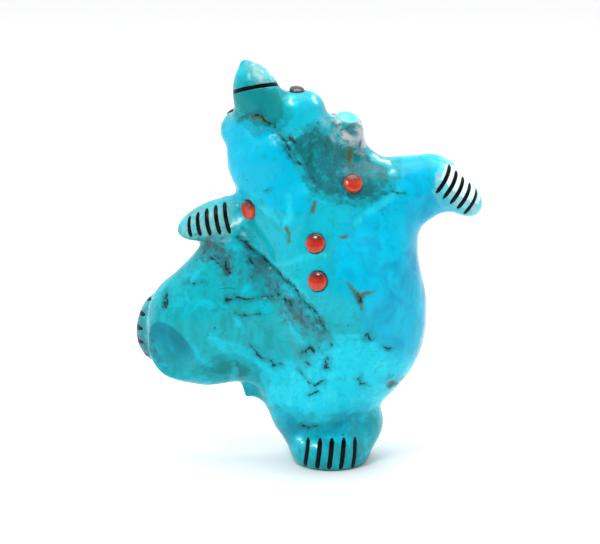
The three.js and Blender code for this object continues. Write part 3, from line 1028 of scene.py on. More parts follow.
# Painted highlights: thin light lines where ridges and edges catch the light, on the chest, along the belly's
# edge, under the right arm and on the tail
RIDGE_HIGHLIGHTS = (
    Mark(((-17.5, 62.8), (-15.6, 61.5), (-13.8, 59.3)), (0.5, 0.3)),
    Mark(((-13.2, 48.4), (-10.8, 49.3), (-7.1, 50.9), (-2.8, 51.2)), (0.5, 0.25)),
    Mark(((4.5, 58.8), (6.4, 61), (10, 62.6), (14.9, 66.8)), (0.2, 0.6)),
    Mark(((-20.6, 53.8), (-14.6, 49.3), (-10.2, 44.9), (-5.9, 39.9)), (0.35, 0.25)),
    Mark(((-11.4, 65.6), (-10.6, 60.6), (-12.6, 57.8)), (0.25, 0.4)),
    Mark(((-25, 20), (-24.4, 22.8), (-24.8, 24.4)), (0.3, 0.1)),
)
RUST_MARKS = (
    # The jaw: an olive band, partly painted shade under the muzzle
    Mark(((-20.4, 84.9), (-17.2, 83.8)), (0.3, 0.8)),
    Mark(((2.6, 44.4), (3.8, 42.6), (5.4, 41.2)), (0.25, 0.95)),
    Mark(((9.2, 42.4), (7.2, 42), (5.4, 41.2)), (0.15, 0.9)),
    Mark(((5.9, 38), (5.6, 39.8), (5.4, 41.2)), (0.35, 0.9)),
    Mark(((-11.8, 57.6), (-11, 54.8)), (0.7, 0.4)),
    Mark(((-5.1, 63.6), (-5.8, 61.2)), (0.6, 0.4)),
    Mark(((3.4, 76.8), (3.2, 74.6), (3.8, 72)), (0.9, 0.35)),
    Mark(((13.4, 19.4), (14.8, 19)), (0.9, 0.5)),
    Mark(((0.9, 55.3), (2.4, 55.8)), (0.2, 0.4)),
)


def mark_depth(places: Array, marks: Sequence[Mark]) -> Array:
    """How far each place lies inside the nearest mark, below zero outside it."""
    return np.max([mark.inside(places) for mark in marks], axis=0)


# Node trees, with their sums written as expressions
class Wire:
    """An output of a shader tree, on which arithmetic adds Math nodes."""

    def __init__(self, tree: "Tree", socket: bpy.types.NodeSocket) -> None:
        """Holds the output and the tree that it is in."""
        self.tree = tree
        self.socket = socket

    def sum(self, operation: str, *values: "Wire | float") -> "Wire":
        """A Math node on these values."""
        inputs = {number: value for number, value in enumerate(values)}
        return self.tree.node("ShaderNodeMath", {"operation": operation}, inputs)

    def __add__(self, other: "Wire | float") -> "Wire":
        """The sum."""
        return self.sum("ADD", self, other)

    def __sub__(self, other: "Wire | float") -> "Wire":
        """The difference."""
        return self.sum("SUBTRACT", self, other)

    def __mul__(self, other: "Wire | float") -> "Wire":
        """The product."""
        return self.sum("MULTIPLY", self, other)

    def __rsub__(self, other: float) -> "Wire":
        """The difference from a number."""
        return self.sum("SUBTRACT", other, self)

    __radd__ = __add__
    __rmul__ = __mul__

    def larger(self, other: "Wire | float") -> "Wire":
        """The larger of the two."""
        return self.sum("MAXIMUM", self, other)

    def between(self, low: float, high: float) -> "Wire":
        """A soft step from 0 at low to 1 at high."""
        inputs = {"Value": self, "From Min": low, "From Max": high}
        return self.tree.node("ShaderNodeMapRange", {"interpolation_type": "SMOOTHSTEP"}, inputs)


class Tree:
    """A material's node tree and its main shader."""

    def __init__(self, name: str) -> None:
        """Makes an empty material.

        Args:
            name: the material's name.
        """
        self.material = bpy.data.materials.new(name)
        self.material.use_nodes = True
        self.links = self.material.node_tree.links
        self.shader = self.material.node_tree.nodes["Principled BSDF"]

    def node(self, kind: str, settings: dict[str, object], inputs: dict[str | int, object],
             output: str | int = 0) -> Wire:
        """Any node.

        Args:
            kind: the node's type.
            settings: its properties, which are set first.
            inputs: a value or a wire for each named or numbered input.
            output: the output that is wanted.

        Returns:
            That output.
        """
        made = self.material.node_tree.nodes.new(kind)
        for name, value in settings.items():
            setattr(made, name, value)
        for name, value in inputs.items():
            self.feed(made.inputs[name], value)
        return Wire(self, made.outputs[output])

    def feed(self, socket: bpy.types.NodeSocket, value: object) -> None:
        """Sets or links one input.

        Args:
            socket: the input.
            value: a wire, or a value for it.
        """
        if isinstance(value, Wire):
            self.links.new(value.socket, socket)
        else:
            socket.default_value = value

    def set(self, **inputs: object) -> None:
        """Sets or links inputs of the main shader, named with underscores for spaces."""
        for name, value in inputs.items():
            self.feed(self.shader.inputs[name.replace("_", " ")], value)

    def place(self) -> Wire:
        """Object coordinates in millimetres.

        Returns:
            The coordinates as a vector.
        """
        raw = self.node("ShaderNodeTexCoord", {}, {}, "Object")
        scale = {0: raw, "Scale": 1 / MILLIMETRE}
        return self.node("ShaderNodeVectorMath", {"operation": "SCALE"}, scale)

    def stretched(self, place: Wire, scale: Point, turn: float) -> Wire:
        """Coordinates turned about the front's axis and then scaled."""
        inputs = {"Vector": place, "Scale": scale, "Rotation": (0, math.radians(turn), 0)}
        return self.node("ShaderNodeMapping", {"vector_type": "POINT"}, inputs)

    def noise(self, place: Wire, size: float, detail: float = 3, rough: float = 0.5, bend: float = 0) -> Wire:
        """Cloudy noise with features of about that size in millimetres.

        Args:
            place: the coordinates.
            size: how large the features are.
            detail: how many finer layers it has.
            rough: how strong the finer layers are.
            bend: how far it is distorted.

        Returns:
            The noise, from 0 to 1.
        """
        inputs = {"Vector": place, "Scale": 1 / size, "Detail": detail,
                  "Roughness": rough, "Distortion": bend}
        return self.node("ShaderNodeTexNoise", {}, inputs, "Fac")

    def spots(self, place: Wire, size: float) -> Wire:
        """The distance from scattered points about that many millimetres apart."""
        inputs = {"Vector": place, "Scale": 1 / size}
        return self.node("ShaderNodeTexVoronoi", {}, inputs, "Distance")

    def attribute(self, name: str) -> Wire:
        """A value that the mesh carries."""
        return self.node("ShaderNodeAttribute", {"attribute_name": name}, {}, "Fac")

    def mix(self, a: "Wire | Colour", b: "Wire | Colour", factor: "Wire | float") -> Wire:
        """One colour over another."""
        settings = {"data_type": "RGBA"}
        return self.node("ShaderNodeMix", settings, {0: factor, 6: a, 7: b}, 2)

    def bump(self, height: Wire, distance: float, strength: float = 1, below: Wire | None = None) -> Wire:
        """A normal that shows heights, where 1 stands for that many millimetres.

        Args:
            height: the heights.
            distance: how many millimetres a height of 1 is.
            strength: how much of it shows.
            below: a normal that it is laid over.

        Returns:
            The normal.
        """
        inputs = {"Height": height, "Distance": distance * MILLIMETRE, "Strength": strength}
        if below is not None:
            inputs["Normal"] = below
        return self.node("ShaderNodeBump", {}, inputs)


def colour(code: str) -> Colour:
    """A colour for a shader, from its six-figure code.

    Args:
        code: two hexadecimal figures each for red, green and blue.

    Returns:
        Its parts in linear light.
    """
    parts = [int(code[at:at + 2], 16) / 255 for at in (0, 2, 4)]
    linear = [part / 12.92 if part <= 0.04045 else ((part + 0.055) / 1.055) ** 2.4 for part in parts]
    return (*linear, 1.0)


class Pattern:
    """The noises that the colours and marks of the turquoise share."""

    def __init__(self, tree: Tree) -> None:
        """Makes each noise once.

        Args:
            tree: the material's tree.
        """
        self.tree = tree
        self.place = tree.place()
        along = tree.stretched(self.place, (1, 1, 0.35), 50)
        across = tree.stretched(self.place, (0.45, 1, 1.5), 25)
        self.ragged = tree.noise(self.place, 1.4, 5, 0.6, 0.4) - 0.5
        self.fine = tree.noise(self.place, 0.35, 4, 0.6) - 0.5
        self.cloud = tree.noise(self.place, 3.2, 4, 0.55, 0.8)
        self.grain = tree.noise(along, 1.5, 5, 0.62, 0.6)
        self.streak = tree.noise(across, 1.0, 6, 0.7, 1.0)
        self.mottle = tree.noise(self.place, 0.9, 4, 0.6, 0.5)

    def edge(self, name: str, ragged: float, fine: float = 0) -> Wire:
        """How far inside an area or a mark each place lies, with an edge this ragged."""
        return self.tree.attribute(name) + self.ragged * ragged + self.fine * fine

    def zone(self, which: Zone, soft: float, rough: float) -> Wire:
        """How much of an area's colour shows, from the softness and roughness of its edge."""
        return self.edge(which.name.lower(), 2 * rough, 0.6 * rough).between(-soft, soft)


@dataclass(frozen=True)
class Patch:
    """How an area is coloured: its two colours, the noise that mixes them, and its edge."""

    zone: Zone
    main: Colour
    second: Colour
    noise: Wire
    span: Place
    second_share: float
    soft: float
    rough: float
    share: float = 1

    def over(self, body: Wire, pattern: Pattern) -> Wire:
        """The colours with this area laid over them.

        Args:
            body: the colours so far.
            pattern: the noises that the colours share.

        Returns:
            The colours with these over them.
        """
        tree = pattern.tree
        mixed = tree.mix(self.main, self.second, self.noise.between(*self.span) * self.second_share)
        return tree.mix(body, mixed, pattern.zone(self.zone, self.soft, self.rough) * self.share)


@dataclass(frozen=True)
class Damage:
    """How much each kind of damage, the painted shade along the jaw and the belly's edge, and each cut line
    show over the surface.
    """

    matrix: Wire
    rust_and_shade_edge: Wire
    rust_and_shade: Wire
    crack_and_shade_edge: Wire
    marks: Wire
    cut: Wire

    @classmethod
    def read(cls, pattern: Pattern) -> "Damage":
        """The damage in a pattern.

        Args:
            pattern: the noises that the colours share.

        Returns:
            What shows of it at each place.
        """
        tree = pattern.tree
        patches = pattern.mottle.between(0.38, 0.56)
        matrix = pattern.edge("matrix", 8, 3).between(-1.0, 1.6) * (0.6 + 0.4 * patches)
        rust_and_shade_edge = pattern.edge("rust_and_shade", 1.2, 1.4)
        crack_and_shade_edge = pattern.edge("crack_and_shade", 1.3, 1.5)
        sparse = tree.noise(pattern.place, 2.6).between(0.52, 0.6)
        specks = (1 - tree.spots(pattern.place, 1.6).between(0.05, 0.12)) * sparse
        marks = crack_and_shade_edge.between(0.02, 0.32).larger(specks * 0.7)
        cut = tree.attribute("cut").between(-0.05, 0.07)
        return cls(matrix, rust_and_shade_edge, rust_and_shade_edge.between(-0.5, 0.35), crack_and_shade_edge, marks, cut)


@dataclass(frozen=True)
class TurquoiseFinish:
    """Polished turquoise in several blues, with brown matrix, cracks and pits, and painted highlights and
    shade.
    """

    teal: Colour = colour("0eaab6")
    jade: Colour = colour("148c92")
    # Darker green for the jaw and above the tail, partly painted shade
    moss_and_shade: Colour = colour("0c7a7c")
    aqua: Colour = colour("0ecce6")
    # Light cyan: the stone's own mottling, and painted highlight on ridges and round glints
    light_aqua: Colour = colour("34e4f2")
    column: Colour = colour("0eb4cc")
    azure: Colour = colour("00b6d8")
    strong_azure: Colour = colour("009ac4")
    panel: Colour = colour("00b0d2")
    slate: Colour = colour("146a72")
    dark_slate: Colour = colour("144850")
    # Darker blue of the ankle band, partly painted shade in its crease
    deep: Colour = colour("007e9e")
    # Painted shade in the raised sole's hollow
    sole: Colour = colour("006a82")
    # Greyer green, partly painted highlight on the muzzle's tip and the right paw
    mist: Colour = colour("78bcb8")
    # Near-white of painted highlights and glints
    pale: Colour = colour("e2fafa")
    matrix: Colour = colour("2e6c78")
    brown: Colour = colour("3c4e52")
    ash: Colour = colour("ccc4c4")
    # Near-black of cracks and pits, and of painted shade along the jaw and the belly's edge
    rust_and_shade: Colour = colour("3a7864")
    # Rust stains, and an olive band of painted shade under the jaw
    old_rust: Colour = colour("544e2c")
    crack_and_shade: Colour = colour("04262c")
    filled: Colour = colour("060609")
    roughness: float = 0.17

    def bright(self, pattern: Pattern) -> Wire:
        """The blues of the body, up to the panel on the chest.

        Args:
            pattern: the noises that the colours share.

        Returns:
            The colours.
        """
        tree, grain, cloud = pattern.tree, pattern.grain, pattern.cloud
        body = tree.mix(self.teal, self.jade, grain.between(0.4, 0.66) * 0.7)
        body = tree.mix(body, self.aqua, cloud.between(0.5, 0.7) * 0.6)
        patches = (
            # light cyan; on the right arm's top it is painted highlight
            Patch(Zone.AQUA, self.aqua, self.light_aqua, grain, (0.46, 0.7), 0.6, 1.6, 2.6, 0.85),
            Patch(Zone.COLUMN, self.column, self.teal, grain, (0.42, 0.64), 0.6, 1.6, 2.2, 0.85),
            Patch(Zone.AZURE, self.azure, self.strong_azure, cloud, (0.4, 0.7), 1, 1.8, 1.8),
            Patch(Zone.PANEL, self.panel, self.aqua, cloud, (0.5, 0.72), 0.5, 0.5, 0.8),
        )
        for patch in patches:
            body = patch.over(body, pattern)
        return body

    def dark(self, pattern: Pattern, body: Wire) -> Wire:
        """The darker and greener areas over the blues, with painted shade: in the raised sole's hollow and
        above the tail, and partly in the ankle's crease and on the jaw.

        Args:
            pattern: the noises that the colours share.
            body: the colours so far.

        Returns:
            The colours with these over them.
        """
        tree, grain, mottle = pattern.tree, pattern.grain, pattern.mottle
        # the ankle band, partly painted shade in its crease
        band = pattern.zone(Zone.DEEP, 2.0, 3.0) * pattern.cloud.between(0.3, 0.55)
        body = tree.mix(body, self.deep, band * 0.8)
        # painted shade in the raised sole's hollow, darkest under its ridge
        body = tree.mix(body, self.sole, tree.attribute("sole") * (0.8 + 0.5 * (mottle - 0.5)))
        body = tree.mix(body, self.jade, mottle.between(0.52, 0.68) * 0.35)
        slate = tree.mix(self.slate, self.dark_slate, grain.between(0.4, 0.66) * 0.7)
        slate = tree.mix(slate, self.teal, mottle.between(0.5, 0.66) * 0.4)
        body = tree.mix(body, slate, pattern.zone(Zone.SLATE, 1.3, 2.2) * 0.9)
        # greener patches: partly painted shade on the jaw, painted shade above the tail
        green = Patch(Zone.JADE, self.moss_and_shade, self.slate, grain, (0.45, 0.66), 0.5, 1.2, 1.8, 0.85)
        return green.over(body, pattern)

    def cloudy(self, pattern: Pattern, body: Wire, damage: Damage) -> Wire:
        """Mist, matrix, stains and painted highlights over the colours; the mist is partly painted highlight
        as well.

        Args:
            pattern: the noises that the colours share.
            body: the colours so far.
            damage: what shows of the damage and cut lines.

        Returns:
            The colours with these over them.
        """
        tree, mottle = pattern.tree, pattern.mottle
        # greyer green, partly painted highlight on the muzzle's tip and the right paw
        mist = pattern.zone(Zone.MIST, 1.4, 1.6) * (0.35 + 0.6 * mottle.between(0.35, 0.6))
        body = tree.mix(body, self.mist, mist)
        matrix = tree.mix(self.matrix, self.brown, mottle.between(0.45, 0.6) * 0.8)
        matrix = tree.mix(matrix, self.ash, tree.attribute("ash") * pattern.cloud.between(0.36, 0.54))
        body = tree.mix(body, matrix, damage.matrix * 0.9)
        stained = pattern.edge("matrix", 5).between(-13, 1) * pattern.streak.between(0.56, 0.66)
        body = tree.mix(body, self.dark_slate, stained * 0.4)
        # painted highlights on the muzzle's tip and the right paw's top
        pale = pattern.edge("pale", 1.6, 0.6).between(-1.2, 1.6)
        return tree.mix(body, self.pale, pale * pale * 0.95)

    def glinting(self, pattern: Pattern, body: Wire) -> Wire:
        """Painted highlights over the colours: light lines along ridges and edges, and small glints with a
        light halo.

        Args:
            pattern: the noises that the colours share.
            body: the colours so far.

        Returns:
            The colours with these over them.
        """
        tree = pattern.tree
        # painted highlight along ridges and edges
        body = tree.mix(body, self.light_aqua, pattern.edge("ridge_highlight", 1.6, 1).between(-0.9, 0.4) * 0.32)
        # painted glints: a light cyan halo, then a near-white core
        body = tree.mix(body, self.light_aqua, pattern.edge("light", 2).between(-1.5, 0.2) * 0.55)
        light = pattern.edge("light", 0.8, 1).between(-0.35, 0.3)
        return tree.mix(body, self.pale, light * light * 0.9)

    def cracked(self, pattern: Pattern, body: Wire, damage: Damage) -> Wire:
        """Rust, cracks, painted shade along the jaw and the belly's edge, and the black of the cut lines over
        the colours.

        Args:
            pattern: the noises that the colours share.
            body: the colours so far.
            damage: what shows of the damage and cut lines.

        Returns:
            The colours with these over them.
        """
        tree = pattern.tree
        # Rust stains, and painted shade under the jaw
        rust_and_shade = tree.mix(self.rust_and_shade, self.old_rust, damage.rust_and_shade_edge.between(0, 0.7))
        body = tree.mix(body, rust_and_shade, damage.rust_and_shade * 0.85)
        beside = (damage.crack_and_shade_edge + pattern.ragged * 2).between(-1.2, 0.2)
        body = tree.mix(body, self.dark_slate, beside * 0.4)
        # cracks and pits, and painted shade along the jaw and the belly's edge
        body = tree.mix(body, self.crack_and_shade, damage.marks * 0.9)
        return tree.mix(body, self.filled, damage.cut)

    def worn(self, pattern: Pattern, damage: Damage) -> Wire:
        """A normal with the soft hills of the polish, the pits and the grit of the matrix.

        Args:
            pattern: the noises that the colours share.
            damage: what shows of the damage and cut lines.

        Returns:
            The normal.
        """
        tree = pattern.tree
        polish = tree.bump(tree.noise(pattern.place, 1.8, 3, 0.5), 0.06, 0.6)
        pitted = tree.bump(1 - damage.marks, 0.05, 0.6, polish)
        grit = tree.noise(pattern.place, 0.22, 4, 0.65) * (damage.matrix + 0.15)
        return tree.bump(grit, 0.012, 0.6, pitted)

    def material(self) -> bpy.types.Material:
        """The finish as a material.

        Returns:
            The material.
        """
        tree = Tree("polished_turquoise")
        pattern = Pattern(tree)
        damage = Damage.read(pattern)
        body = self.dark(pattern, self.bright(pattern))
        body = self.glinting(pattern, self.cloudy(pattern, body, damage))
        dull = tree.attribute("sole") * 0.55 + damage.matrix * 0.16 + damage.rust_and_shade * 0.3
        dull = dull + damage.marks * 0.4 + damage.cut * 0.15
        tree.set(Base_Color=self.cracked(pattern, body, damage), Normal=self.worn(pattern, damage))
        tree.set(Roughness=self.roughness + dull + pattern.fine * 0.06)
        tree.set(IOR=1.5, Specular_IOR_Level=0.15, Coat_Weight=0.0)
        return tree.material


@dataclass(frozen=True)
class StoneFinish:
    """A small polished stone: the colours of its middle, clouds and rim, the darker colour of painted shade
    on its top, and its polish.
    """

    name: str
    main: Colour
    cloudy: Colour
    rim: Colour
    shaded_top: Colour
    roughness: float
    coat: float

    def material(self) -> bpy.types.Material:
        """The finish as a material.

        Returns:
            The material.
        """
        tree = Tree(self.name)
        place = tree.place()
        cloud = tree.noise(place, 0.7, 4, 0.6, 0.5).between(0.4, 0.68)
        body = tree.mix(self.main, self.cloudy, cloud)
        body = tree.mix(body, self.rim, tree.attribute("rim").between(0.72, 1) * 0.7)
        # painted shade: darker towards the top of the dome
        body = tree.mix(body, self.shaded_top, tree.attribute("rise").between(0, 0.8) * 0.9)
        polish = tree.bump(tree.noise(place, 0.4, 3), 0.008)
        tree.set(Base_Color=body, Roughness=self.roughness + cloud * 0.06, Normal=polish)
        tree.set(IOR=1.5, Coat_Weight=self.coat, Coat_Roughness=0.04)
        return tree.material


STONE_FINISHES = {
    Inlay.CORAL: StoneFinish("coral", main=colour("b4240e"), cloudy=colour("c63417"), rim=colour("d04e2c"),
                             shaded_top=colour("4a0805"), roughness=0.14, coat=0.1),
    Inlay.JET: StoneFinish("jet", main=colour("140c0c"), cloudy=colour("3a2a28"), rim=colour("3a302c"),
                           shaded_top=colour("060404"), roughness=0.12, coat=0.4),
    Inlay.PALE: StoneFinish("pale_turquoise", main=colour("43e2ec"), cloudy=colour("66ecf2"),
                            rim=colour("8af2f4"), shaded_top=colour("38d4e0"), roughness=0.2, coat=0.4),
}


@dataclass(frozen=True)
class FillingFinish:
    """The hard black filling of the cut lines."""

    black: Colour = colour("050508")
    worn: Colour = colour("14121a")

    def material(self) -> bpy.types.Material:
        """The finish as a material.

        Returns:
            The material.
        """
        tree = Tree("black_filling")
        place = tree.place()
        worn = tree.noise(place, 0.5, 5, 0.65).between(0.5, 0.72)
        tree.set(Base_Color=tree.mix(self.black, self.worn, worn * 0.6), Roughness=0.3 + worn * 0.25)
        tree.set(Specular_IOR_Level=0.1)
        tree.set(Normal=tree.bump(tree.noise(place, 0.15, 4), 0.02))
        return tree.material


@dataclass(frozen=True)
class FloorFinish:
    """A plain white board."""

    white: Colour = (0.93, 0.93, 0.93, 1)
    shade: Colour = (0.91, 0.915, 0.92, 1)

    def material(self) -> bpy.types.Material:
        """The finish as a material.

        Returns:
            The material.
        """
        tree = Tree("white_board")
        tree.set(Base_Color=tree.mix(self.white, self.shade, tree.noise(tree.place(), 60)), Roughness=0.6)
        tree.set(Specular_IOR_Level=0.2)
        return tree.material


# Meshes
def mesh_piece(name: str, points: Array, faces: Array, material: bpy.types.Material) -> bpy.types.Object:
    """A smooth piece from triangles.

    Args:
        name: the piece's name.
        points: its points in metres.
        faces: rows of three point numbers that turn outwards.
        material: its finish.

    Returns:
        The piece, linked to the scene.
    """
    mesh = bpy.data.meshes.new(name)
    mesh.vertices.add(len(points))
    mesh.vertices.foreach_set("co", points.astype(np.float32).ravel())
    mesh.loops.add(3 * len(faces))
    mesh.loops.foreach_set("vertex_index", faces.astype(np.int32).ravel())
    mesh.polygons.add(len(faces))
    mesh.polygons.foreach_set("loop_start", np.arange(0, 3 * len(faces), 3, dtype=np.int32))
    mesh.polygons.foreach_set("use_smooth", np.ones(len(faces), bool))
    mesh.update(calc_edges=True)
    mesh.materials.append(material)
    piece = bpy.data.objects.new(name, mesh)
    bpy.context.scene.collection.objects.link(piece)
    return piece


def carry(mesh: bpy.types.Mesh, name: str, values: Array) -> None:
    """Gives each point of a mesh a value.

    Args:
        mesh: the mesh.
        name: the name that the finish reads.
        values: a number or a vector for each point.
    """
    kind = "FLOAT" if values.ndim == 1 else "FLOAT_VECTOR"
    field_name = "value" if values.ndim == 1 else "vector"
    attribute = mesh.attributes.new(name, kind, "POINT")
    attribute.data.foreach_set(field_name, values.astype(np.float32).ravel())


def dress(piece: bpy.types.Object, slot: str, *nodes: str) -> bpy.types.Object:
    """Fixes a finished piece to the frame in place of CAD nodes.

    Args:
        piece: the finished piece.
        slot: not used.
        nodes: the nodes that it replaces.

    Returns:
        The same piece.
    """
    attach(piece, "root")
    if nodes:
        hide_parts(*nodes)
    return piece


@dataclass(frozen=True)
class Step:
    """How far the surface rises in an area, and between which distances from its edge it does so."""

    area: str
    rise: float
    lip: Place
    broken: bool = False


@dataclass
class Carving:
    """The bear itself, with its cut lines, seats, steps and cracks."""

    form: BearForm
    lines: list[CutLine]
    stones: list[Cabochon]
    net: Net = Net()
    rounds: int = 3
    fine_edge: float = 0.16
    mark_edge: float = 0.26
    bent_edge: float = 0.24
    bend: float = 0.22
    slack: float = 1.4
    mark_margin: float = 0.45
    line_margin: float = 0.8
    seat_margin: float = 0.7
    marks_end: float = 2
    ragged: tuple[Place, Place] = ((0.25, 2.6), (0.12, 1.1))
    drift_waves: Place = (34, 30)
    back: Place = (4, 14)
    back_warp: float = 9.0
    marks_fade: Place = (0, 4)
    hump_place: Point = seen(3, 82, 3)
    hump_reach: Place = (6, 13)
    ridge_place: Point = seen(-40.1, 32.3)
    ridge_way: Point = (0.8, 0.0, -0.6)
    ridge_up: Point = (0.6, 0.0, 0.8)
    hollow_edge: Place = (0.3, 0.9)
    ridge_end: Place = (3, 13)
    ridge_foot: Place = (0.5, 7)
    foot_shade: float = 0.8
    unevenness: float = 0.16
    uneven_waves: Place = (17, 7)
    small_share: float = 0.45
    break_wave: float = 1.8
    breaks: Place = (-0.6, 0.4)
    ground_fade: Place = (0.2, 2)
    steps: tuple[Step, ...] = (
        Step("panel", 0.3, (-0.5, 0.4)),
        Step("slate", -0.2, (-0.8, 1.2)),
        Step("crack_and_shade", -0.14, (-0.3, 0.1), broken=True),
        Step("rust_and_shade", -0.14, (-0.4, 0.3)),
    )

    def wanted(self, points: Array) -> Array:
        """The longest edge that the mesh may have at each point.

        Args:
            points: rows of coordinates in hundredths.

        Returns:
            A length for each point, in hundredths.
        """
        edge = np.full(len(points), self.net.cell * 2)
        marks = mark_depth(self.front(points), (*DARK_MARKS, *LIGHT_MARKS, *RUST_MARKS))
        edge[(marks > -self.mark_margin) & (points[:, 1] < self.marks_end)] = self.mark_edge
        for line in self.lines:
            away, _ = nearest_on(points, line.path, 2 * line.width)
            edge[away < self.line_margin * line.width] = self.fine_edge
        for stone in self.stones:
            edge[stone.near(points) < self.seat_margin] = self.fine_edge
        return edge

    def too_long(self, points: Array, edges: Array) -> Array:
        """Which edges of the mesh are too long for what lies there or for how the surface bends.

        Args:
            points: rows of coordinates in hundredths.
            edges: the two point numbers of each edge.

        Returns:
            Whether to halve each edge.
        """
        wanted = self.wanted(points)
        ways = self.form.outward(points)
        a, b = edges.T
        length = np.linalg.norm(points[a] - points[b], axis=1)
        bent = (ways[a] * ways[b]).sum(axis=1) < math.cos(self.bend)
        limit = np.minimum(wanted[a], wanted[b])
        limit = np.where(bent, np.minimum(limit, self.bent_edge), limit)
        return length > self.slack * limit

    def surface(self) -> tuple[Array, Array]:
        """The smooth surface, finer beside cut lines, cracks, seats and sharp bends.

        Returns:
            The points in hundredths, and triangles that turn outwards.
        """
        points, faces = self.net.build(self.form)
        log.info("net of %d points", len(points))
        for _ in range(self.rounds):
            edges, which = edges_of(faces)
            known = len(points)
            points, faces = halved(points, faces, edges, which, self.too_long(points, edges))
            points[known:] = self.form.settled(points[known:], 3)
        log.info("refined to %d points, %d triangles", len(points), len(faces))
        return points, faces

    def front(self, points: Array) -> Array:
        """Where points show from the front, with a little raggedness.

        Args:
            points: rows of coordinates in hundredths.

        Returns:
            Places across and up.
        """
        (large, large_wave), (small, small_wave) = self.ragged
        across = points[:, 0] + large * Ripple(large_wave, 1)(points) + small * Ripple(small_wave, 2)(points)
        level = points[:, 2] + SLANT * points[:, 1] + large * Ripple(large_wave, 3)(points)
        return np.column_stack([across, level])

    def zones(self, points: Array) -> dict[str, Array]:
        """What the finish reads at each point: how far inside each area and mark it lies.

        Args:
            points: rows of coordinates in hundredths.

        Returns:
            A value for each point, by the name that the finish reads.
        """
        front = self.front(points)
        behind = self.back_warp * smoothstep(points[:, 1], *self.back)
        drift = np.column_stack([Ripple(wave, seed)(points) for wave, seed in zip(self.drift_waves, (4, 5))])
        places = front + drift * behind[:, None]
        values = {zone.name.lower(): zone.inside(places) for zone in Zone}
        hidden = MARK_REACH * smoothstep(points[:, 1], *self.marks_fade)
        marks = {"crack_and_shade": DARK_MARKS, "rust_and_shade": RUST_MARKS, "light": LIGHT_MARKS, "ridge_highlight": RIDGE_HIGHLIGHTS}
        for name, group in marks.items():
            values[name] = mark_depth(front, group) - hidden
        values["cut"] = np.max([line.inside(points) for line in self.lines], axis=0)
        away = np.linalg.norm(points - np.array(self.hump_place), axis=1)
        values["ash"] = 1 - smoothstep(away, *self.hump_reach)
        # painted shade in the raised sole's hollow
        values["sole"] = self.sole_shade(points)
        return values

    def sole_shade(self, points: Array) -> Array:
        """How much painted shade the raised sole's hollow gets: most under its top ridge, fading down and
        along it.

        Args:
            points: rows of coordinates in hundredths.

        Returns:
            A share for each point, 1 where it is darkest.
        """
        hollowed = 1 - smoothstep(np.abs(self.form.hollow(points)), *self.hollow_edge)
        offset = points - np.array(self.ridge_place)
        along = smoothstep(offset @ np.array(self.ridge_way), *self.ridge_end)
        below = smoothstep(-offset @ np.array(self.ridge_up), *self.ridge_foot)
        return hollowed * (1 - along) * (1 - self.foot_shade * below)

    def relief(self, points: Array, zones: dict[str, Array]) -> Array:
        """How far steps, cracks and unevenness raise the surface.

        Args:
            points: rows of coordinates in hundredths.
            zones: how far inside each area and mark they lie.

        Returns:
            A height for each point, in hundredths.
        """
        large, small = self.uneven_waves
        rise = self.unevenness * (Ripple(large, 6)(points) + self.small_share * Ripple(small, 7)(points))
        whole = smoothstep(Ripple(self.break_wave, 8)(points), *self.breaks)
        for step in self.steps:
            depth = step.rise * whole if step.broken else step.rise
            rise += depth * smoothstep(zones[step.area], *step.lip)
        return rise * smoothstep(points[:, 2], *self.ground_fade)

    def worked(self, points: Array, ways: Array, zones: dict[str, Array]) -> Array:
        """The surface with every cut, step and unevenness.

        Args:
            points: rows of coordinates in hundredths.
            ways: the directions that the surface faces.
            zones: how far inside each area and mark the points lie.

        Returns:
            The moved points.
        """
        rise = self.relief(points, zones)
        for line in self.lines:
            rise -= line.sunk(points)
        for stone in self.stones:
            rise = np.where(stone.sunk(points) > 0, np.minimum(rise, -stone.sunk(points)), rise)
        return points + rise[:, None] * ways

    def lifted(self, line: CutLine) -> CutLine:
        """A cut line's path on the uneven surface."""
        rise = self.relief(line.path, self.zones(line.path))
        return replace(line, path=line.path + rise[:, None] * line.up)

    def build(self, finish: TurquoiseFinish) -> bpy.types.Object:
        """The dressed piece.

        Args:
            finish: the stone's finish.

        Returns:
            The piece.
        """
        points, faces = self.surface()
        zones = self.zones(points)
        shaped = self.worked(points, self.form.outward(points), zones)
        shaped[:, 2] = np.maximum(shaped[:, 2], 0)
        piece = mesh_piece("carved_bear", shaped * HUNDREDTH, faces, finish.material())
        for name, values in zones.items():
            carry(piece.data, name, values)
        return dress(piece, "turquoise", "bear")


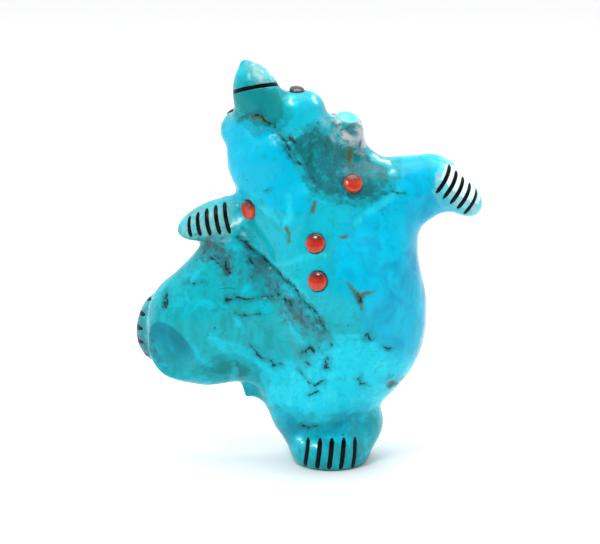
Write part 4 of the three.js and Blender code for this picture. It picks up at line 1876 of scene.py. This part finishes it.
class SweepTree:
    """A geometry node tree with named inputs."""

    def __init__(self, name: str, inputs: dict[str, str]) -> None:
        """Makes an empty tree that takes geometry and these inputs.

        Args:
            name: the tree's name.
            inputs: the socket type of each named input.
        """
        self.group = bpy.data.node_groups.new(name, "GeometryNodeTree")
        face = self.group.interface
        face.new_socket("Geometry", in_out="INPUT", socket_type="NodeSocketGeometry")
        face.new_socket("Geometry", in_out="OUTPUT", socket_type="NodeSocketGeometry")
        self.sockets = {}
        for title, kind in inputs.items():
            self.sockets[title] = face.new_socket(title, in_out="INPUT", socket_type=kind).identifier

    def node(self, kind: str, settings: dict[str, object], inputs: dict[str | int, object]) -> bpy.types.Node:
        """Any node, with its properties set and its inputs set or linked.

        Args:
            kind: the node's type.
            settings: its properties, which are set first.
            inputs: a value or a socket for each named or numbered input.

        Returns:
            The node.
        """
        made = self.group.nodes.new(kind)
        for name, value in settings.items():
            setattr(made, name, value)
        for name, value in inputs.items():
            if isinstance(value, bpy.types.NodeSocket):
                self.group.links.new(value, made.inputs[name])
            else:
                made.inputs[name].default_value = value
        return made

    def named(self, name: str, kind: str) -> bpy.types.NodeSocket:
        """A value that the geometry carries."""
        return self.node("GeometryNodeInputNamedAttribute", {"data_type": kind}, {"Name": name}).outputs[0]

    def maths(self, operation: str, first: object, second: object) -> bpy.types.NodeSocket:
        """A Math node's result."""
        return self.node("ShaderNodeMath", {"operation": operation}, {0: first, 1: second}).outputs[0]


@dataclass
class Filling:
    """The black filling of every cut line, swept along its path by a node tree."""

    lines: list[CutLine]
    sunk: float = 0.03 * MILLIMETRE
    width_share: float = 1.02
    thick_share: float = 0.3
    rounding_share: float = 0.06
    rounding_steps: int = 3

    def paths(self) -> bpy.types.Object:
        """The paths as a mesh of edges, each point with the way up and the line's width.

        Returns:
            An object that holds the mesh.
        """
        mesh = bpy.data.meshes.new("filling_paths")
        points = np.concatenate([line.path for line in self.lines]) * HUNDREDTH
        counts = [len(line.path) for line in self.lines]
        firsts = np.cumsum([0, *counts[:-1]])
        edges = [(first + step, first + step + 1)
                 for first, count in zip(firsts, counts) for step in range(count - 1)]
        mesh.from_pydata(points.tolist(), edges, [])
        carry(mesh, "up", np.concatenate([line.up for line in self.lines]))
        girth = [line.width * HUNDREDTH * tapered(np.linspace(0, 1, len(line.path))) for line in self.lines]
        carry(mesh, "girth", np.concatenate(girth))
        holder = bpy.data.objects.new("filling_paths", mesh)
        bpy.context.scene.collection.objects.link(holder)
        return holder

    def tree(self) -> SweepTree:
        """The node tree that sweeps a flat bar with rounded edges along the paths.

        Returns:
            The tree.
        """
        tree = SweepTree("groove_filling", {"Sunk": "NodeSocketFloat", "Width": "NodeSocketFloat",
                                            "Thickness": "NodeSocketFloat", "Rounding": "NodeSocketFloat",
                                            "Finish": "NodeSocketMaterial"})
        given = tree.node("NodeGroupInput", {}, {}).outputs
        up = tree.named("up", "FLOAT_VECTOR")
        girth = tree.named("girth", "FLOAT")
        half = tree.maths("MULTIPLY", tree.maths("MULTIPLY", given["Thickness"], girth), 0.5)
        down = tree.maths("MULTIPLY", tree.maths("ADD", given["Sunk"], half), -1.0)
        offset = tree.node("ShaderNodeVectorMath", {"operation": "SCALE"}, {0: up, "Scale": down}).outputs[0]
        moved = tree.node("GeometryNodeSetPosition", {}, {"Geometry": given["Geometry"], "Offset": offset})
        curve = tree.node("GeometryNodeMeshToCurve", {}, {"Mesh": moved.outputs[0]})
        facing = {"Curve": curve.outputs[0], "Normal": up}
        aimed = tree.node("GeometryNodeSetCurveNormal", {"mode": "FREE"}, facing)
        sides = {"Width": given["Thickness"], "Height": given["Width"]}
        bar = tree.node("GeometryNodeCurvePrimitiveQuadrilateral", {"mode": "RECTANGLE"}, sides)
        rounded = {"Curve": bar.outputs[0], "Count": self.rounding_steps, "Radius": given["Rounding"]}
        section = tree.node("GeometryNodeFilletCurve", {"mode": "POLY"}, rounded)
        swept = {"Curve": aimed.outputs[0], "Profile Curve": section.outputs[0],
                 "Scale": girth, "Fill Caps": True}
        body = tree.node("GeometryNodeCurveToMesh", {}, swept)
        real = tree.node("GeometryNodeRealizeInstances", {}, {"Geometry": body.outputs[0]})
        finished = {"Geometry": real.outputs[0], "Material": given["Finish"]}
        done = tree.node("GeometryNodeSetMaterial", {}, finished)
        tree.node("NodeGroupOutput", {}, {0: done.outputs[0]})
        return tree

    def build(self, finish: FillingFinish) -> bpy.types.Object:
        """The dressed piece.

        Args:
            finish: the filling's finish.

        Returns:
            The piece.
        """
        holder = self.paths()
        tree = self.tree()
        modifier = holder.modifiers.new("filling", "NODES")
        modifier.node_group = tree.group
        values = {"Sunk": self.sunk, "Width": self.width_share, "Thickness": self.thick_share,
                  "Rounding": self.rounding_share, "Finish": finish.material()}
        for name, value in values.items():
            modifier[tree.sockets[name]] = value
        return dress(frozen(holder, "cut_line_filling"), "jet")


def frozen(holder: bpy.types.Object, name: str) -> bpy.types.Object:
    """A plain mesh piece from what an object's modifiers make, in the object's place.

    Args:
        holder: the object, which is removed.
        name: the piece's name.

    Returns:
        The piece.
    """
    evaluated = holder.evaluated_get(bpy.context.evaluated_depsgraph_get())
    mesh = bpy.data.meshes.new_from_object(evaluated)
    mesh.name = name
    mesh.polygons.foreach_set("use_smooth", np.ones(len(mesh.polygons), bool))
    piece = bpy.data.objects.new(name, mesh)
    bpy.context.scene.collection.objects.link(piece)
    bpy.data.objects.remove(holder)
    return piece


@dataclass
class Dome:
    """One cabochon's mesh: a straight rim in its seat under a low dome."""

    stone: Cabochon
    depth: float = 0.7
    rim_share: float = 0.35
    foot_width: float = 0.97
    foot_height: float = 0.1
    segments: int = 64
    steps: int = 18

    def profile(self) -> list[Place]:
        """The outline from the middle of the bottom to the top, as radius and height.

        Returns:
            Places in millimetres from the stone's middle.
        """
        radius, rim = self.stone.diameter / 2, self.stone.proud * self.rim_share
        turns = np.linspace(0, math.pi / 2, self.steps)
        rise = self.stone.proud - rim
        dome = [(radius * math.cos(turn), rim + rise * math.sin(turn)) for turn in turns[:-1]]
        foot = [(radius * self.foot_width, -self.depth), (radius, -self.depth * (1 - self.foot_height))]
        return [*foot, *dome]

    def points(self) -> Array:
        """Rings of points from the bottom up, then the middle of the bottom and the top.

        Returns:
            The points in metres.
        """
        turns = np.linspace(0, math.tau, self.segments, endpoint=False)
        up = self.stone.facing
        side = np.cross(up, [0.0, 1.0, 0.0])
        side /= np.linalg.norm(side)
        ring = np.cos(turns)[:, None] * side + np.sin(turns)[:, None] * np.cross(up, side)
        rows = [radius * ring + height * up for radius, height in self.profile()]
        ends = [-self.depth * up, self.stone.proud * up]
        return self.stone.point * HUNDREDTH + np.concatenate([*rows, ends]) * MILLIMETRE

    def faces(self, rows: int) -> Array:
        """Triangles between that many rings, and fans to the bottom and the top.

        Args:
            rows: how many rings there are.

        Returns:
            Rows of three point numbers that turn outwards.
        """
        here = np.arange(self.segments)
        after = np.roll(here, -1)
        bottom = np.full(self.segments, rows * self.segments)
        found = [np.column_stack([after, here, bottom])]
        for row in range(rows - 1):
            low, high = row * self.segments, (row + 1) * self.segments
            found.append(np.column_stack([low + here, low + after, high + after]))
            found.append(np.column_stack([low + here, high + after, high + here]))
        last = (rows - 1) * self.segments
        found.append(np.column_stack([last + here, last + after, bottom + 1]))
        return np.concatenate(found)

    def build(self, name: str, slot: str, material: bpy.types.Material) -> bpy.types.Object:
        """The dressed piece.

        Args:
            name: the piece's name.
            slot: its material's slot.
            material: its finish.

        Returns:
            The piece.
        """
        points = self.points()
        piece = mesh_piece(name, points, self.faces(len(self.profile())), material)
        radius = self.stone.diameter / 2 * MILLIMETRE
        offsets = points - self.stone.point * HUNDREDTH
        carry(piece.data, "rim", np.linalg.norm(np.cross(offsets, self.stone.facing), axis=1) / radius)
        # How high each point lies on the dome, which the finish darkens towards the top as painted shade
        carry(piece.data, "rise", offsets[:, 2] / radius)
        return dress(piece, slot, self.stone.node)


@dataclass(frozen=True)
class Lamp:
    """A square soft light."""

    name: str
    place: Point
    size: float
    power: float

    def build(self, target: Point) -> None:
        """Hangs the light and turns it to a target.

        Args:
            target: the point that it faces, in metres.
        """
        data = bpy.data.lights.new(self.name, "AREA")
        data.shape = "SQUARE"
        data.size = self.size
        data.energy = self.power
        holder = bpy.data.objects.new(self.name, data)
        holder.location = Vector(self.place)
        holder.rotation_euler = (Vector(self.place) - Vector(target)).to_track_quat("Z", "Y").to_euler()
        bpy.context.scene.collection.objects.link(holder)


@dataclass(frozen=True)
class Studio:
    """A white floor, plain soft light and the camera."""

    target: Point = (-0.00428, 0.0, 0.0235)
    distance: float = 0.25
    picture_width: float = 0.07332
    sensor: float = 36.0
    clip: Place = (0.01, 20)
    floor_half: float = 4.0
    white: Colour = (1, 1, 1, 1)
    front_light: Place = (-1.0, 0.25)
    back_light: Place = (0.1, 1.2)
    lamps: tuple[Lamp, ...] = (
        Lamp("key", (-0.14, -0.22, 0.34), size=0.12, power=0.7),
        Lamp("top", (0.05, 0.05, 0.45), size=0.3, power=0.9),
    )

    def camera(self) -> None:
        """The camera in the view that the bear was measured in."""
        data = bpy.data.cameras.new("camera")
        data.sensor_width = self.sensor
        data.lens = self.sensor * self.distance / self.picture_width
        data.clip_start, data.clip_end = self.clip
        holder = bpy.data.objects.new("camera", data)
        back = Vector((0, -math.cos(ELEVATION), math.sin(ELEVATION)))
        holder.location = Vector(self.target) + back * self.distance
        holder.rotation_euler = back.to_track_quat("Z", "Y").to_euler()
        bpy.context.scene.collection.objects.link(holder)
        bpy.context.scene.camera = holder

    def surroundings(self) -> None:
        """Even white light from every side, weaker from the front."""
        world = bpy.data.worlds.new("white_room")
        world.use_nodes = True
        bpy.context.scene.world = world
        nodes, links = world.node_tree.nodes, world.node_tree.links
        ground = nodes["Background"]
        ground.inputs["Color"].default_value = self.white
        way = nodes.new("ShaderNodeTexCoord")
        split = nodes.new("ShaderNodeSeparateXYZ")
        fall = nodes.new("ShaderNodeMapRange")
        fall.interpolation_type = "SMOOTHSTEP"
        links.new(way.outputs["Generated"], split.inputs[0])
        links.new(split.outputs["Y"], fall.inputs["Value"])
        for end, (depth, strength) in {"Min": self.front_light, "Max": self.back_light}.items():
            fall.inputs[f"From {end}"].default_value = depth
            fall.inputs[f"To {end}"].default_value = strength
        links.new(fall.outputs[0], ground.inputs["Strength"])

    def floor(self, finish: FloorFinish) -> bpy.types.Object:
        """The floor, which isn't part of the bear.

        Args:
            finish: the floor's finish.

        Returns:
            The piece.
        """
        signs = ((-1, -1), (1, -1), (1, 1), (-1, 1))
        corners = np.array([(x * self.floor_half, y * self.floor_half, 0) for x, y in signs])
        piece = mesh_piece("floor", corners, np.array([(0, 1, 2), (0, 2, 3)]), finish.material())
        return piece

    def build(self) -> None:
        """Everything round the bear."""
        self.camera()
        self.surroundings()
        self.floor(FloorFinish())
        for lamp in self.lamps:
            lamp.build(self.target)
        bpy.context.scene.view_settings.view_transform = "Standard"


def main() -> None:
    """Builds every piece and its surroundings."""
    logging.basicConfig(level=logging.INFO, format="%(message)s")
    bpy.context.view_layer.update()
    form = BearForm()
    lines = CutLines(form).all()
    stones = let_in(form)
    log.info("%d cut lines, %d stones", len(lines), sum(len(kind) for kind in stones.values()))
    carving = Carving(form, lines, [stone for kind in stones.values() for stone in kind])
    bear = carving.build(TurquoiseFinish())
    log.info("%s: %d triangles", bear.name, len(bear.data.polygons))
    filling = Filling([carving.lifted(line) for line in lines]).build(FillingFinish())
    log.info("%s: %d faces", filling.name, len(filling.data.polygons))
    for kind, finish in STONE_FINISHES.items():
        material = finish.material()
        for stone in stones[kind]:
            piece = Dome(stone).build(f"{stone.node}_stone", finish.name, material)
            log.info("%s: %d faces", piece.name, len(piece.data.polygons))
    Studio().build()
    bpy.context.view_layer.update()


if __name__ == "__main__":
    main()
